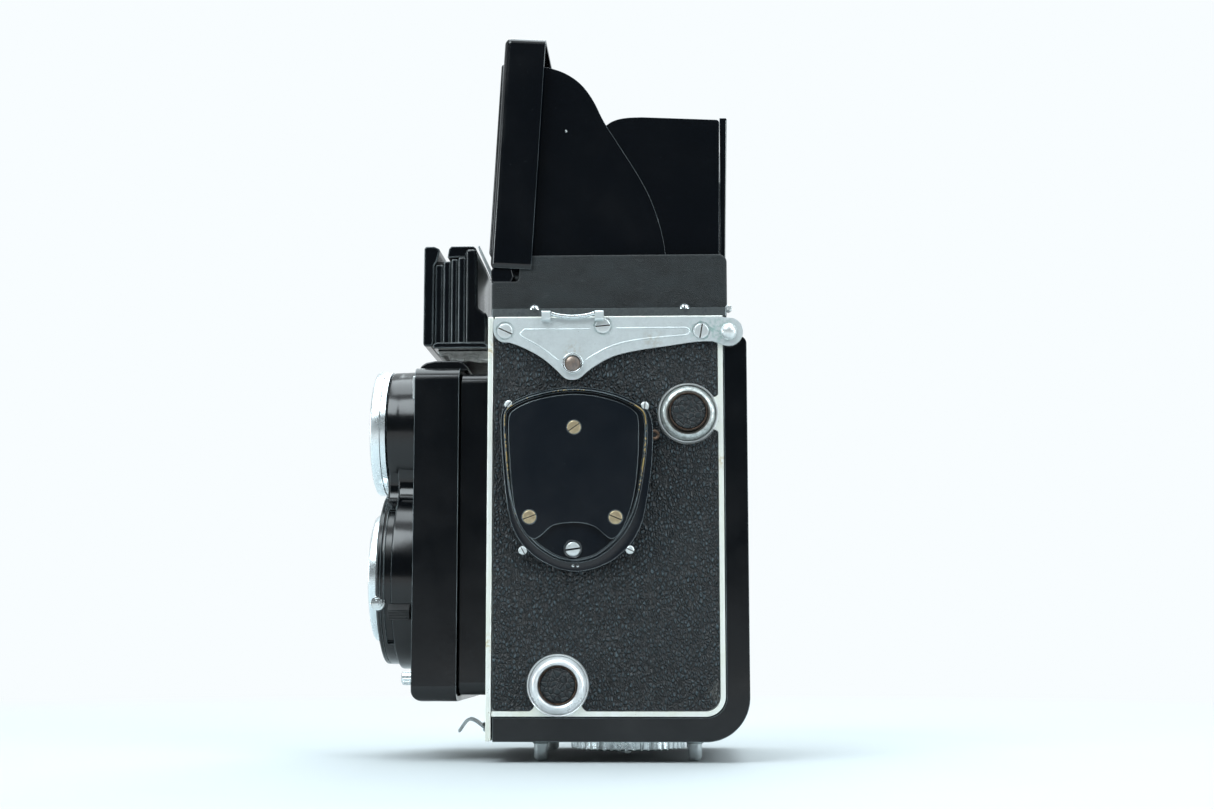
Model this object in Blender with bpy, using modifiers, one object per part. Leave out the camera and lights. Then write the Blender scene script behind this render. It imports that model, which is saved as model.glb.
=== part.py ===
"""Twin lens reflex camera for 120 roll film, with its viewing hood standing open.

The lenses face -X, the photographer's left hand side is -Y and +Z is up. All the numbers below are
millimetres in a design frame whose X starts at the middle of the body, whose Y starts at the middle of
the lenses and whose Z starts at the table. place() turns them into metres in the row frame.
"""

import math

import bmesh
import bpy
from mathutils import Matrix, Vector

MM = 0.001

# Body casting and what is fixed on it
BODY_FRONT, BODY_REAR = -35.4, 29.9
BODY_BOTTOM, BODY_TOP = 12.8, 125.8
BODY_HALF = 37.9
TRIM_FACE = 39.0
PLATE_THICK = 0.9
TAKING_Z, VIEWING_Z = 52.6, 96.6
CHAMBER_HALF = 31.5
FILM_PLANE = 27.5
SUPPLY = (-16.8, 21.4)
TAKE_UP = (19.96, 97.65)
SPOOL_ROOM = 13.2
KNOB_RADIUS = 5.3
BACK_HINGE = (31.6, 120.9)
BACK_REAR = 36.7
BACK_LEATHER = 0.5
BACK_BOTTOM = 5.8
PLATE_TOP = 125.2
BAIL_LUGS = (-20.35, -5.2)
BAIL_HEIGHT = 126.3
LOWER_KNOB_REACH = 41.0

# Front standard, lenses and shutter
SHROUD_FRONT, STANDARD_REAR, STANDARD_FRONT = -45.6, -45.9, -58.7
LENS_FRONT = -74.3
LENS_RADIUS = 19.0
SHUTTER_RADIUS = 25.6
FOCUS_PIVOT = (-40.2, 0.0)

# Hood
HOOD_FRONT, HOOD_REAR = -36.5, 31.4
HOOD_HALF = 35.1
HOOD_WALL = 1.9
RAIL_TOP = 128.6
HOOD_TOP = 144.5
LEAF_OUTER = 32.9
LEAF_SHEET = 0.8
LEFT_LEAF_Z, RIGHT_LEAF_Z, PANEL_Z = 138.5, 136.2, 140.6
LID_PIVOT = (-34.6, 138.4)
LID_LEAN = math.radians(3.3)
PANEL_LEAN = math.radians(1.1)
PANEL_X = 30.4
LID_TOP = 209.5
LID_DEPTH = 12.0
LID_HALF = 36.3
MAGNIFIER_PIVOT = (-31.0, 196.0)

# Outermost pieces across the camera, which centre it in the row frame
NEAR_MOST, FAR_MOST = -44.2, 50.0
SHIFT_X = -(LENS_FRONT + BACK_REAR) / 2
SHIFT_Y = -(NEAR_MOST + FAR_MOST) / 2

for old in list(bpy.data.objects):
    bpy.data.objects.remove(old)

CAMERA = bpy.data.collections.new("twin_lens_reflex")
CUTTERS = bpy.data.collections.new("cutters")
bpy.context.scene.collection.children.link(CAMERA)
bpy.context.scene.collection.children.link(CUTTERS)
CUTTERS.hide_render = True


# ---------------------------------------------------------------- materials
def material(name, colour, roughness, metallic):
    made = bpy.data.materials.new(name)
    made.use_nodes = True
    shader = made.node_tree.nodes["Principled BSDF"]
    shader.inputs["Base Color"].default_value = (*colour, 1.0)
    shader.inputs["Roughness"].default_value = roughness
    shader.inputs["Metallic"].default_value = metallic
    made.diffuse_color = (*colour, 1.0)
    return made


SATIN = material("satin_aluminium", (0.72, 0.74, 0.74), 0.38, 1.0)
CHROME = material("chrome", (0.86, 0.87, 0.88), 0.12, 1.0)
GLOSS = material("black_enamel", (0.012, 0.013, 0.014), 0.2, 0.0)
MATT = material("matt_black", (0.02, 0.02, 0.022), 0.7, 0.0)
LEATHER = material("black_leather", (0.03, 0.032, 0.035), 0.6, 0.0)
WORN = material("worn_leather", (0.07, 0.075, 0.08), 0.55, 0.0)
GREY = material("grey_metal", (0.3, 0.28, 0.26), 0.45, 0.9)
GLASS = material("glass", (0.75, 0.8, 0.85), 0.05, 0.0)
SILVERED = material("mirror", (0.9, 0.9, 0.92), 0.03, 1.0)


# ---------------------------------------------------------------- shape helpers
def place(point):
    """A design point in millimetres, as metres in the row frame."""
    return (Vector(point) + Vector((SHIFT_X, SHIFT_Y, 0))) * MM


def to_axis(axis):
    """Turns a shape made along Z to lie along another axis."""
    if axis == "X":
        return Matrix.Rotation(math.radians(90), 4, "Y")
    if axis == "Y":
        return Matrix.Rotation(math.radians(-90), 4, "X")
    return Matrix.Identity(4)


def block(low, high, radius=0.0, along="XYZ", segments=3):
    """A box between two corners, its edges along the named axes rounded."""
    shape = bmesh.new()
    bmesh.ops.create_cube(shape, size=1.0)
    low, high = Vector(low), Vector(high)
    size = high - low
    bmesh.ops.scale(shape, vec=size, verts=shape.verts)
    bmesh.ops.translate(shape, vec=(low + high) / 2, verts=shape.verts)
    if radius:
        edges = []
        for edge in shape.edges:
            run = edge.verts[0].co - edge.verts[1].co
            longest = max(range(3), key=lambda i: abs(run[i]))
            if "XYZ"[longest] in along:
                edges.append(edge)
        bmesh.ops.bevel(
            shape, geom=edges, offset=radius, segments=segments, profile=0.5, affect="EDGES"
        )
    return shape


def prism(outline, low, high, axis="Y"):
    """A flat outline extruded along an axis. It is given as (x, z) for Y, (y, z) for X, (x, y) for Z."""
    spots = {
        "X": lambda a, b, depth: (depth, a, b),
        "Y": lambda a, b, depth: (a, depth, b),
        "Z": lambda a, b, depth: (a, b, depth),
    }[axis]
    shape = bmesh.new()
    face = shape.faces.new([shape.verts.new(spots(a, b, low)) for a, b in outline])
    grown = bmesh.ops.extrude_face_region(shape, geom=[face])
    moved = [item for item in grown["geom"] if isinstance(item, bmesh.types.BMVert)]
    bmesh.ops.translate(shape, vec=spots(0, 0, high - low), verts=moved)
    bmesh.ops.recalc_face_normals(shape, faces=shape.faces)
    return shape


def turned(profile, axis="Z", centre=(0, 0, 0), steps=40):
    """A turned shape from (radius, height) points: open when it ends on the axis, a ring otherwise."""
    count = len(profile)
    solid = profile[0][0] == 0 and profile[-1][0] == 0
    edges = [(i, (i + 1) % count) for i in range(count - 1 if solid else count)]
    mesh = bpy.data.meshes.new("profile")
    mesh.from_pydata([(radius, 0, height) for radius, height in profile], edges, [])
    helper = bpy.data.objects.new("profile", mesh)
    CAMERA.objects.link(helper)
    screw = helper.modifiers.new("turn", "SCREW")
    screw.steps = screw.render_steps = steps
    screw.use_merge_vertices = True
    screw.merge_threshold = 0.0001
    graph = bpy.context.evaluated_depsgraph_get()
    shape = bmesh.new()
    shape.from_mesh(helper.evaluated_get(graph).to_mesh())
    bpy.data.objects.remove(helper)
    bmesh.ops.remove_doubles(shape, verts=shape.verts, dist=0.0001)
    bmesh.ops.dissolve_degenerate(shape, edges=shape.edges, dist=0.0001)
    shape.transform(Matrix.Translation(Vector(centre)) @ to_axis(axis))
    bmesh.ops.recalc_face_normals(shape, faces=shape.faces)
    return shape


def disc(radius, low, high, axis="Z", centre=(0, 0, 0), steps=40, edge=0.0):
    """A solid cylinder from low to high along its axis, with its rims chamfered by edge."""
    rim = [(radius, low + edge), (radius, high - edge)]
    if edge:
        rim = [(radius - edge, low), *rim, (radius - edge, high)]
    return turned([(0, low), *rim, (0, high)], axis, centre, steps)


def ring(inner, outer, low, high, axis="Z", centre=(0, 0, 0), steps=40, edge=0.0):
    """A plain ring, its two outer rims chamfered by edge."""
    rim = [(outer, low + edge), (outer, high - edge)]
    if edge:
        rim = [(outer - edge, low), *rim, (outer - edge, high)]
    return turned([(inner, low), *rim, (inner, high)], axis, centre, steps)


def arc(centre, radius, start, end, count):
    """Points along an arc, its angles in degrees."""
    angles = [math.radians(start + (end - start) * i / (count - 1)) for i in range(count)]
    return [(centre[0] + radius * math.cos(a), centre[1] + radius * math.sin(a)) for a in angles]


def softened(points, rounds=2):
    """An open run of points with its corners cut, round after round."""
    for _ in range(rounds):
        run = [points[0]]
        for (ax, az), (bx, bz) in zip(points, points[1:]):
            run.append((0.75 * ax + 0.25 * bx, 0.75 * az + 0.25 * bz))
            run.append((0.25 * ax + 0.75 * bx, 0.25 * az + 0.75 * bz))
        points = [*run, points[-1]]
    return points


def mirrored(shape):
    """The same shape on the far side of the camera."""
    bmesh.ops.scale(shape, vec=(1, -1, 1), verts=shape.verts)
    bmesh.ops.reverse_faces(shape, faces=shape.faces)
    return shape


def side(shape, sign):
    """A shape drawn on the near side, kept for sign -1 and mirrored for sign +1."""
    return mirrored(shape) if sign > 0 else shape


def leaned(shape, angle, pivot):
    """A shape turned about a line along Y through pivot, its top towards +X."""
    centre = Vector((pivot[0], 0, pivot[1]))
    shape.transform(
        Matrix.Translation(centre) @ Matrix.Rotation(angle, 4, "Y") @ Matrix.Translation(-centre)
    )
    return shape


def to_mesh(shape, name, pivot):
    """Writes a shape into a mesh in metres, measured from its pivot."""
    shape.transform(Matrix.Scale(MM, 4) @ Matrix.Translation(-Vector(pivot)))
    mesh = bpy.data.meshes.new(name)
    shape.to_mesh(mesh)
    shape.free()
    mesh.shade_smooth()
    mesh.set_sharp_from_angle(angle=math.radians(35))
    return mesh


def node(name, shape, look, pivot=(0, 0, 0)):
    """One sub-part, with its origin on pivot."""
    obj = bpy.data.objects.new(name, to_mesh(shape, name, pivot))
    obj.location = place(pivot)
    obj.data.materials.append(look)
    CAMERA.objects.link(obj)
    return obj


def boolean(obj, shape, operation):
    """Cuts a shape out of a sub-part, or joins it on, with a hidden helper object."""
    name = f"{obj.name}_{operation.lower()}_{len(obj.modifiers)}"
    helper = bpy.data.objects.new(name, to_mesh(shape, name, (0, 0, 0)))
    helper.location = place((0, 0, 0))
    helper.hide_render = True
    helper.display_type = "WIRE"
    CUTTERS.objects.link(helper)
    modifier = obj.modifiers.new(name, "BOOLEAN")
    modifier.operation = operation
    modifier.object = helper
    modifier.solver = "EXACT"


def cut(obj, *shapes):
    for shape in shapes:
        boolean(obj, shape, "DIFFERENCE")


def join(obj, *shapes):
    for shape in shapes:
        boolean(obj, shape, "UNION")


def wire(name, points, radius, look, pivot):
    """A bent wire with round section through points in millimetres."""
    curve = bpy.data.curves.new(name, "CURVE")
    curve.dimensions = "3D"
    curve.bevel_depth = radius * MM
    curve.bevel_resolution = 2
    curve.use_fill_caps = True
    spline = curve.splines.new("POLY")
    spline.points.add(len(points) - 1)
    for spot, point in zip(spline.points, points):
        spot.co = (*((Vector(point) - Vector(pivot)) * MM), 1.0)
    obj = bpy.data.objects.new(name, curve)
    obj.location = place(pivot)
    curve.materials.append(look)
    CAMERA.objects.link(obj)


# ---------------------------------------------------------------- body
def body_casting():
    outline = [
        (BODY_FRONT, BODY_TOP),
        (BODY_FRONT, BODY_BOTTOM),
        *arc((BODY_REAR - 5.6, BODY_BOTTOM + 5.6), 5.6, -90, 0, 5),
        (BODY_REAR, BODY_TOP),
    ]
    body = node("body_casting", prism(outline, -BODY_HALF, BODY_HALF), SATIN)
    mirror_room = [(-33.9, 72.6), (-30, 72.6), (18, 120.6), (21, 120.6), (21, 127), (-33.9, 127)]
    dark_room = [(-36, 40), (-6, 36.8), (31, 24.6), (31, 80.6), (-36, 67)]
    cut(
        body,
        prism(mirror_room, -27.5, 27.5),
        prism(dark_room, -28, 28),
        disc(17.5, -36, -33, "X", (0, 0, VIEWING_Z)),
        block((FILM_PLANE, -CHAMBER_HALF, 12), (31, CHAMBER_HALF, 112)),
        block((-28, -CHAMBER_HALF, 12), (29, CHAMBER_HALF, 16.4)),
        disc(SPOOL_ROOM, -CHAMBER_HALF, CHAMBER_HALF, "Y", (SUPPLY[0], 0, SUPPLY[1])),
        block((SUPPLY[0] - SPOOL_ROOM, -CHAMBER_HALF, 12), (SUPPLY[0] + SPOOL_ROOM, CHAMBER_HALF, SUPPLY[1])),
        disc(SPOOL_ROOM, -CHAMBER_HALF, CHAMBER_HALF, "Y", (TAKE_UP[0], 0, TAKE_UP[1])),
        block((TAKE_UP[0], -CHAMBER_HALF, 84.6), (31, CHAMBER_HALF, 110.8)),
        disc(5.0, -CHAMBER_HALF, CHAMBER_HALF, "Y", (23.6, 0, 19.4), steps=24),
        disc(3.0, -BODY_HALF - 1, -CHAMBER_HALF + 1, "Y", (SUPPLY[0], 0, SUPPLY[1]), steps=24),
        disc(3.0, -BODY_HALF - 1, -CHAMBER_HALF + 1, "Y", (TAKE_UP[0], 0, TAKE_UP[1]), steps=24),
    )
    join(body, disc(2.2, 27.0, CHAMBER_HALF + 1, "Y", (SUPPLY[0], 0, SUPPLY[1]), steps=16))


def front_plate():
    plate = node("front_plate", block((-37.1, -TRIM_FACE, 6.0), (BODY_FRONT - 0.2, TRIM_FACE, BODY_TOP)), SATIN)
    cut(plate, block((-38, -27, 24), (-35, 27, 110), 4, "X"))


def side_trim(name, sign):
    """The bright edge along the back and the bottom, with the flanges of the two spool knobs."""
    inner = 1.4
    outline = [
        (BODY_FRONT, BODY_BOTTOM + inner),
        (BODY_FRONT, BODY_BOTTOM),
        *arc((BODY_REAR - 5.6, BODY_BOTTOM + 5.6), 5.6, -90, 0, 7),
        (BODY_REAR, 119.0),
        (BODY_REAR - inner, 119.0),
        *arc((BODY_REAR - 5.6, BODY_BOTTOM + 5.6), 5.6 - inner, 0, -90, 7),
    ]
    trim = node(name, side(prism(outline, -TRIM_FACE, -BODY_HALF - 0.2), sign), SATIN)
    if sign > 0:
        return
    webs = (
        block((SUPPLY[0] - 6.2, -TRIM_FACE, 13.2), (SUPPLY[0] + 6.2, -BODY_HALF - 0.2, SUPPLY[1])),
        block((TAKE_UP[0], -TRIM_FACE, 92.6), (29.4, -BODY_HALF - 0.2, 102.7)),
    )
    join(trim, *webs)
    for x, z in (SUPPLY, TAKE_UP):
        flange = [(0, -41.0), (6.6, -41.0), (7.6, -40.6), (8.4, -39.6), (8.4, -38.1), (0, -38.1)]
        join(trim, turned(flange, "Y", (x, 0, z), 32))
    for x, z in (SUPPLY, TAKE_UP):
        cut(trim, disc(KNOB_RADIUS + 0.3, -42, -37, "Y", (x, 0, z), 28))


def side_leather(name, sign):
    """The leather panel inside the bright edge, cut round the knob flanges."""
    low, high = (BODY_FRONT + 0.2, BODY_BOTTOM + 1.6), (BODY_REAR - 1.6, 125.0)
    corners = [
        *arc((high[0] - 4.6, low[1] + 4.6), 4.6, -90, 0, 6),
        *arc((high[0] - 1.2, high[1] - 1.2), 1.2, 0, 90, 4),
        *arc((low[0] + 1.2, high[1] - 1.2), 1.2, 90, 180, 4),
        *arc((low[0] + 1.2, low[1] + 1.2), 1.2, 180, 270, 4),
    ]
    leather = node(name, side(prism(corners, -TRIM_FACE + 0.1, -BODY_HALF - 0.2), sign), LEATHER)
    if sign > 0:
        return
    for x, z in (SUPPLY, TAKE_UP):
        cut(leather, disc(8.65, -40, -37, "Y", (x, 0, z)))
    cut(
        leather,
        block((SUPPLY[0] - 6.45, -40, 13), (SUPPLY[0] + 6.45, -37, SUPPLY[1])),
        block((TAKE_UP[0], -40, 92.35), (30, -37, 102.95)),
    )


def strap_plate(name, sign):
    """The long satin plate under the hood, with a lobe for the strap post and a lug at the back hinge."""
    lower = [(-26.4, 116.6), (-21.1, 113.4), (-17.4, 109.6), (-13.0, 106.6), (-8.5, 109.8), (-2.1, 113.95)]
    lower += [(5.2, 115.6), (15.7, 117.1), (22.6, 118.0)]
    outline = [
        *arc((-32.0, 121.9), 3.4, 180, 270, 5),
        *softened([(-30, 118.2), *lower, (27, 118.1)]),
        *arc(BACK_HINGE, 4.1, -100, 70, 11),
        (27.5, PLATE_TOP),
        (-34.2, PLATE_TOP),
        (-35.4, PLATE_TOP - 1.0),
    ]
    near = -TRIM_FACE - 0.2
    plate = node(name, side(prism(outline, near - PLATE_THICK, near), sign), SATIN)
    post = ring(2.35, 3.0, near - PLATE_THICK - 1.0, near - 0.3, "Y", (-12.8, 0, 111.95), 24)
    join(plate, side(post, sign))
    for x in BAIL_LUGS:
        lug = block((x - 1.2, near - 2.6, BAIL_HEIGHT - 2.0), (x + 1.2, near - 0.2, BAIL_HEIGHT + 0.8))
        join(plate, side(lug, sign))


def strap_bail(name, sign):
    """The wire for the neck strap, which sags a little between its two lugs."""
    middle = sum(BAIL_LUGS) / 2
    half = (BAIL_LUGS[1] - BAIL_LUGS[0]) / 2 - 1.5
    pivot = (middle, sign * (TRIM_FACE + 2.2), BAIL_HEIGHT)
    sag = [(half * (i / 5 - 1), 0, -1.2 * math.sin(math.pi * i / 10)) for i in range(11)]
    wire(name, [Vector(pivot) + Vector(point) for point in sag], 0.6, CHROME, pivot)


def meter_case():
    """The shield-shaped case of the exposure meter's movement, on the near side."""
    top = [(-33.0, 98.7), (-29.2, 101.4), (-24.8, 103.2), (-18.5, 104.7), (-12.2, 105.3), (-5.9, 104.7)]
    top += [(0.4, 103.0), (5.4, 100.8), (8.9, 98.3)]
    right = [(10.1, 94.1), (10.0, 87.8), (9.6, 81.6), (8.7, 75.3), (7.2, 66.6), (4.0, 60.4)]
    bottom = [(-0.9, 55.9), (-6.5, 53.5), (-11.8, 52.6), (-17.1, 53.6), (-23.0, 56.6)]
    left = [(-27.7, 61.1), (-30.3, 66.7), (-31.8, 75.5), (-32.6, 84.9), (-33.2, 93.1)]
    outline = [*top, *right, *bottom, *left]
    face = -TRIM_FACE - 0.1
    case = node("meter_case", prism(outline, face - 2.6, face), GLOSS)
    cut(case, block((-28, face - 1.6, 62), (4, face + 1, 97), 4, "Y"))


def meter_face():
    """The face plate with its two tips below."""
    top = [(-30.8, 97.4), (-27.9, 99.5), (-23.5, 101.3), (-17.9, 102.5), (-12.2, 103.0), (-6.5, 102.5)]
    top += [(-0.9, 101.1), (2.9, 99.5), (5.7, 97.3)]
    right = [(6.1, 94.2), (5.9, 84.7), (5.1, 76.6), (3.9, 71.0), (2.0, 65.7), (0.1, 62.7), (-1.8, 61.8)]
    bottom = [(-3.4, 62.8), (-6.2, 65.4), (-9.0, 66.3), (-12.5, 66.6), (-15.9, 66.3), (-18.6, 65.7)]
    left = [(-21.4, 62.9), (-23.4, 61.8), (-25.4, 62.8), (-27.9, 66.7), (-29.3, 71.7), (-30.3, 81.7)]
    outline = [*top, *right, *bottom, *left, (-30.9, 91.2)]
    back = -TRIM_FACE - 2.9
    node("meter_face", prism(outline, back - 1.2, back), GLOSS)


def spool_knob(name, spot, reach):
    """A pull-out knob whose stem carries the end of a spool."""
    x, z = spot
    profile = [(0, -reach), (KNOB_RADIUS - 0.7, -reach), (KNOB_RADIUS, -reach + 0.7), (KNOB_RADIUS, -38.4)]
    profile += [(2.6, -38.4), (2.6, -29.4), (1.9, -28.6), (0, -28.6)]
    node(name, turned(profile, "Y", (x, 0, z), 28), CHROME, (x, -38.4, z))


def spool(name, spot):
    """A 120 film spool: a core between two flanges, bored for the knob's stem."""
    x, z = spot
    half, core, flange, bore, thick = 30.8, 5.8, 12.4, 2.9, 0.9
    profile = [
        (0, -24),
        (bore, -24),
        (bore, -half),
        (flange, -half),
        (flange, thick - half),
        (core, thick - half),
        (core, half - thick),
        (flange, half - thick),
        (flange, half),
        (bore, half),
        (bore, 24),
        (0, 24),
    ]
    node(name, turned(profile, "Y", (x, 0, z), 24), MATT, (x, 0, z))


def film_drive():
    """The key of the winding gear, which turns the take-up spool from the far side."""
    x, z = TAKE_UP
    key = turned([(0, 26.5), (2.2, 26.5), (2.2, 31.0), (4.2, 31.0), (4.2, 31.4), (0, 31.4)], "Y", (x, 0, z), 24)
    node("film_drive_key", key, CHROME, (x, 0, z))


def film_roller(name, spot, radius):
    x, z = spot
    node(name, disc(radius, -30.5, 30.5, "Y", (x, 0, z), 24, 0.5), SATIN, (x, 0, z))


def mirror():
    length, thick = 62.0, 1.6
    plate = block((-length / 2, -26, -thick), (length / 2, 26, 0))
    plate.transform(Matrix.Translation((-8.2, 0, 97.8)) @ Matrix.Rotation(math.radians(-45), 4, "Y"))
    node("reflex_mirror", plate, SILVERED)


# ---------------------------------------------------------------- camera back
def back_cover():
    """The L-shaped back: it covers the rear and the bottom, and swings on the pin at its top."""
    inner, radius, wall = 0.3, 12.3, 1.5
    x0, x1, z0 = BODY_FRONT + 0.3, BACK_REAR, BACK_BOTTOM
    outer = [
        (x0, z0),
        *arc((x1 - radius, z0 + radius), radius, -90, 0, 10),
        *arc((x1 - 2.2, 117.7), 2.2, 0, 75, 5),
        (BACK_HINGE[0] + 1.0, 120.0),
        (BODY_REAR + inner, 119.2),
        *arc((BODY_REAR + inner - 5.6, BODY_BOTTOM - inner + 5.6), 5.6, 0, -90, 5),
        (x0, BODY_BOTTOM - inner),
    ]
    hollow = [
        (x0 + 3, z0 + wall),
        *arc((x1 - radius, z0 + radius), radius - wall, -90, 0, 8),
        (x1 - wall, 114.0),
        (BODY_REAR - 2, 114.0),
        (BODY_REAR - 2, BODY_BOTTOM + 3),
        (x0 + 3, BODY_BOTTOM + 3),
    ]
    back = node("back_cover", prism(outer, -38.6, 38.6), GLOSS, (BACK_HINGE[0], 0, BACK_HINGE[1]))
    recess = block((BACK_REAR - BACK_LEATHER - 0.1, -35.7, 21.8), (BACK_REAR + 1, 35.7, 112.2), 2.0, "X")
    cut(back, prism(hollow, -36.4, 36.4), recess)
    for low, high in ((-38.4, -33.0), (33.0, 38.4)):
        join(back, disc(1.4, low, high, "Y", (BACK_HINGE[0], 0, BACK_HINGE[1]), 16))
        join(back, block((31.6, low, 112.5), (33.0, high, 120.9)))


def back_leather():
    """The leather let into the rear face of the back."""
    panel = block((BACK_REAR - BACK_LEATHER, -35.5, 22.0), (BACK_REAR, 35.5, 112.0), 2.0, "X")
    node("back_leather", panel, LEATHER, (BACK_HINGE[0], 0, BACK_HINGE[1]))


def pressure_plate():
    """The spring-loaded plate that holds the film flat, with its leaf spring post."""
    plate = node(
        "pressure_plate",
        block((FILM_PLANE + 0.7, -29.5, 21.5), (FILM_PLANE + 1.9, 29.5, 83.5), 1.5, "X"),
        MATT,
        (BACK_HINGE[0], 0, BACK_HINGE[1]),
    )
    join(plate, block((FILM_PLANE + 1.6, -8, 44), (BACK_REAR - 1.8, 8, 61)))


def lock_dial():
    """The fluted ring under the camera which locks the back."""
    profile = [(7.3, 1.9), (16.4, 1.9), (17.0, 2.4), (17.0, 5.3), (16.8, 5.5), (7.3, 5.5)]
    dial = node("back_lock_dial", turned(profile, "Z", (1.8, 0, 0), 36), CHROME, (1.8, 0, 0))
    for turn in range(20):
        angle = math.radians(18 * turn)
        spot = (1.8 + 17.4 * math.cos(angle), 17.4 * math.sin(angle), 0)
        cut(dial, disc(0.9, 1, 6, "Z", spot, 8))


def tripod_socket():
    profile = [(3.1, 1.6), (6.4, 1.6), (6.9, 2.1), (6.9, 5.5), (3.1, 5.5)]
    node("tripod_socket", turned(profile, "Z", (1.8, 0, 0), 24), CHROME)


def foot(name, x, y):
    node(name, disc(1.95, 0, 5.5, "Z", (x, y, 0), 16), SATIN)


# ---------------------------------------------------------------- front standard and lenses
def shroud_box():
    """The fixed box that the front standard telescopes over."""
    outer = block((SHROUD_FRONT, -32.6, 18.5), (-37.4, 32.6, 110.6), 3.6, "X")
    box = node("bellows_shroud", outer, MATT)
    cut(box, block((-47, -30.8, 20.3), (-36, 30.8, 108.8), 2.2, "X"))


def standard():
    """The lens panel with its deep rim."""
    outer = block((STANDARD_FRONT, -34.4, 16.7), (STANDARD_REAR, 34.4, 112.3), 4.4, "X")
    panel = node("front_standard", outer, GLOSS, (STANDARD_REAR, 0, 0))
    cut(
        panel,
        block((STANDARD_FRONT + 2.2, -33.0, 18.1), (-44, 33.0, 111.0), 3.2, "X"),
        disc(16.2, -60, -54, "X", (0, 0, TAKING_Z)),
        disc(15.2, -60, -54, "X", (0, 0, VIEWING_Z)),
        disc(2.3, -60, -54, "X", (0, -28, 23.2), 20),
    )
    crest = [(-58.2, 112.1), (-43.8, 112.1), (-43.8, 112.8), (-46.4, 114.7), (-53.8, 114.7), (-57.4, 113.4)]
    join(panel, prism(crest, -29, 29))


def shutter_housing():
    """The black figure-of-eight housing round both lenses."""
    back, step, waist, front, rim = -59.0, -66.2, -63.4, -69.9, -71.4
    profile = [
        (16.4, front),
        (24.9, front),
        (24.9, rim),
        (SHUTTER_RADIUS - 0.4, rim),
        (SHUTTER_RADIUS, rim + 0.5),
        (SHUTTER_RADIUS, step),
        (27.2, step + 1.2),
        (27.2, back),
        (16.4, back),
    ]
    housing = node("shutter_housing", turned(profile, "X", (0, 0, TAKING_Z)), GLOSS)
    cut(housing, disc(LENS_RADIUS + 0.3, rim - 1, waist, "X", (0, 0, VIEWING_Z)))
    join(housing, ring(15.5, 20.4, waist - 0.1, back, "X", (0, 0, VIEWING_Z)))


def exposure_ring():
    """The thin ring round the taking lens which sets the stop, with its finger slots."""
    outline = ring(19.5, 24.4, -71.0, -70.1, "X", (0, 0, TAKING_Z), 36)
    band = node("aperture_ring", outline, GLOSS, (0, 0, TAKING_Z))
    for turn in range(12):
        angle = math.radians(15 + 30 * turn)
        spot = (0, 24.8 * math.cos(angle), TAKING_Z + 24.8 * math.sin(angle))
        cut(band, disc(1.1, -73, -69, "X", spot, 8))


def lens_ring(name, height, front, rear):
    """A chrome bayonet ring with a turned lip."""
    profile = [
        (15.6, front),
        (18.2, front),
        (LENS_RADIUS, front + 0.8),
        (LENS_RADIUS, rear),
        (15.6, rear),
    ]
    node(name, turned(profile, "X", (0, 0, height), 40), CHROME)


def lens_barrel(name, height, front, rear, reach):
    """A black barrel, stepped down towards its glass."""
    profile = [
        (15.4, front),
        (15.4, rear),
        (10.2, rear),
        (10.2, reach),
        (12.4, reach),
        (14.6, front),
    ]
    node(name, turned(profile, "X", (0, 0, height), 32), MATT)


def lens_glass(name, height, front, radius, bulge):
    """The front element: a shallow dome over a flat back."""
    dome = [(radius * math.sin(a), front + bulge * (1 - math.cos(a))) for a in (0, 0.4, 0.8, 1.2, math.pi / 2)]
    profile = [*dome, (radius, front + bulge + 2.0), (0, front + bulge + 2.0)]
    node(name, turned(profile, "X", (0, 0, height), 36), GLASS)


def viewing_collar():
    """The black tube which carries the viewing lens."""
    profile = [(15.7, -69.2), (18.8, -69.2), (18.8, -63.8), (15.7, -63.8)]
    node("viewing_collar", turned(profile, "X", (0, 0, VIEWING_Z), 40), GLOSS)


def timer_lever():
    """The small ridged lever on the near side of the shutter."""
    angle = math.degrees(math.atan2(-10, -24))
    inner = arc((0, TAKING_Z), 27.5, angle - 5, angle + 5, 4)
    outer = arc((0, TAKING_Z), 29.8, angle + 4, angle - 4, 4)
    node("timer_lever", prism([*inner, *outer], -66.6, -60.4, "X"), CHROME, (0, 0, TAKING_Z))


def release_button():
    profile = [(0, -62.2), (1.5, -62.2), (2.0, -61.7), (2.0, -56.0), (0, -56.0)]
    node("release_button", turned(profile, "X", (0, -28, 23.2), 20), CHROME, (-56.0, -28, 23.2))


def focus_lever():
    """The bent tongue under the lens panel, which swings to focus."""
    x = FOCUS_PIVOT[0]
    centre_line = [(x + 0.2, 8.1), (x - 1.6, 8.9), (x - 4.6, 10.8), (x - 6.2, 10.5), (x - 8.6, 7.4)]
    lower = [(a, b - 0.9) for a, b in reversed(centre_line)]
    lever = node("focus_lever", prism([*centre_line, *lower], -3.1, 3.1), GREY, (x, 0, 8.0))
    join(lever, disc(1.5, 6.8, 9.6, "Z", (x, 0, 0), 20))


# ---------------------------------------------------------------- meter cell above the lens
def cell_housing():
    """The housing of the light cell: ribbed sides under a cap, with a notch behind its front plate."""
    outline = [
        (-54.7, 119.4),
        (-54.7, 149.6),
        (-53.4, 149.4),
        (-52.6, 146.4),
        (-51.8, 145.9),
        (-51.2, 146.6),
        (-50.8, 150.2),
        (-42.9, 150.2),
        (-42.2, 148.8),
        (-41.9, 146.8),
        (-41.8, 131.2),
        (-38.9, 129.4),
        (-38.9, 119.4),
    ]
    housing = node("cell_housing", prism(outline, -24, 24), GLOSS)
    for sign in (-1, 1):
        for x, top in ((-53.6, 144.7), (-51.0, 145.3), (-48.8, 146.2), (-46.6, 146.8)):
            groove = block((x - 0.7, -25, 123), (x + 0.7, -22.8, top))
            cut(housing, side(groove, sign))


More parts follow.
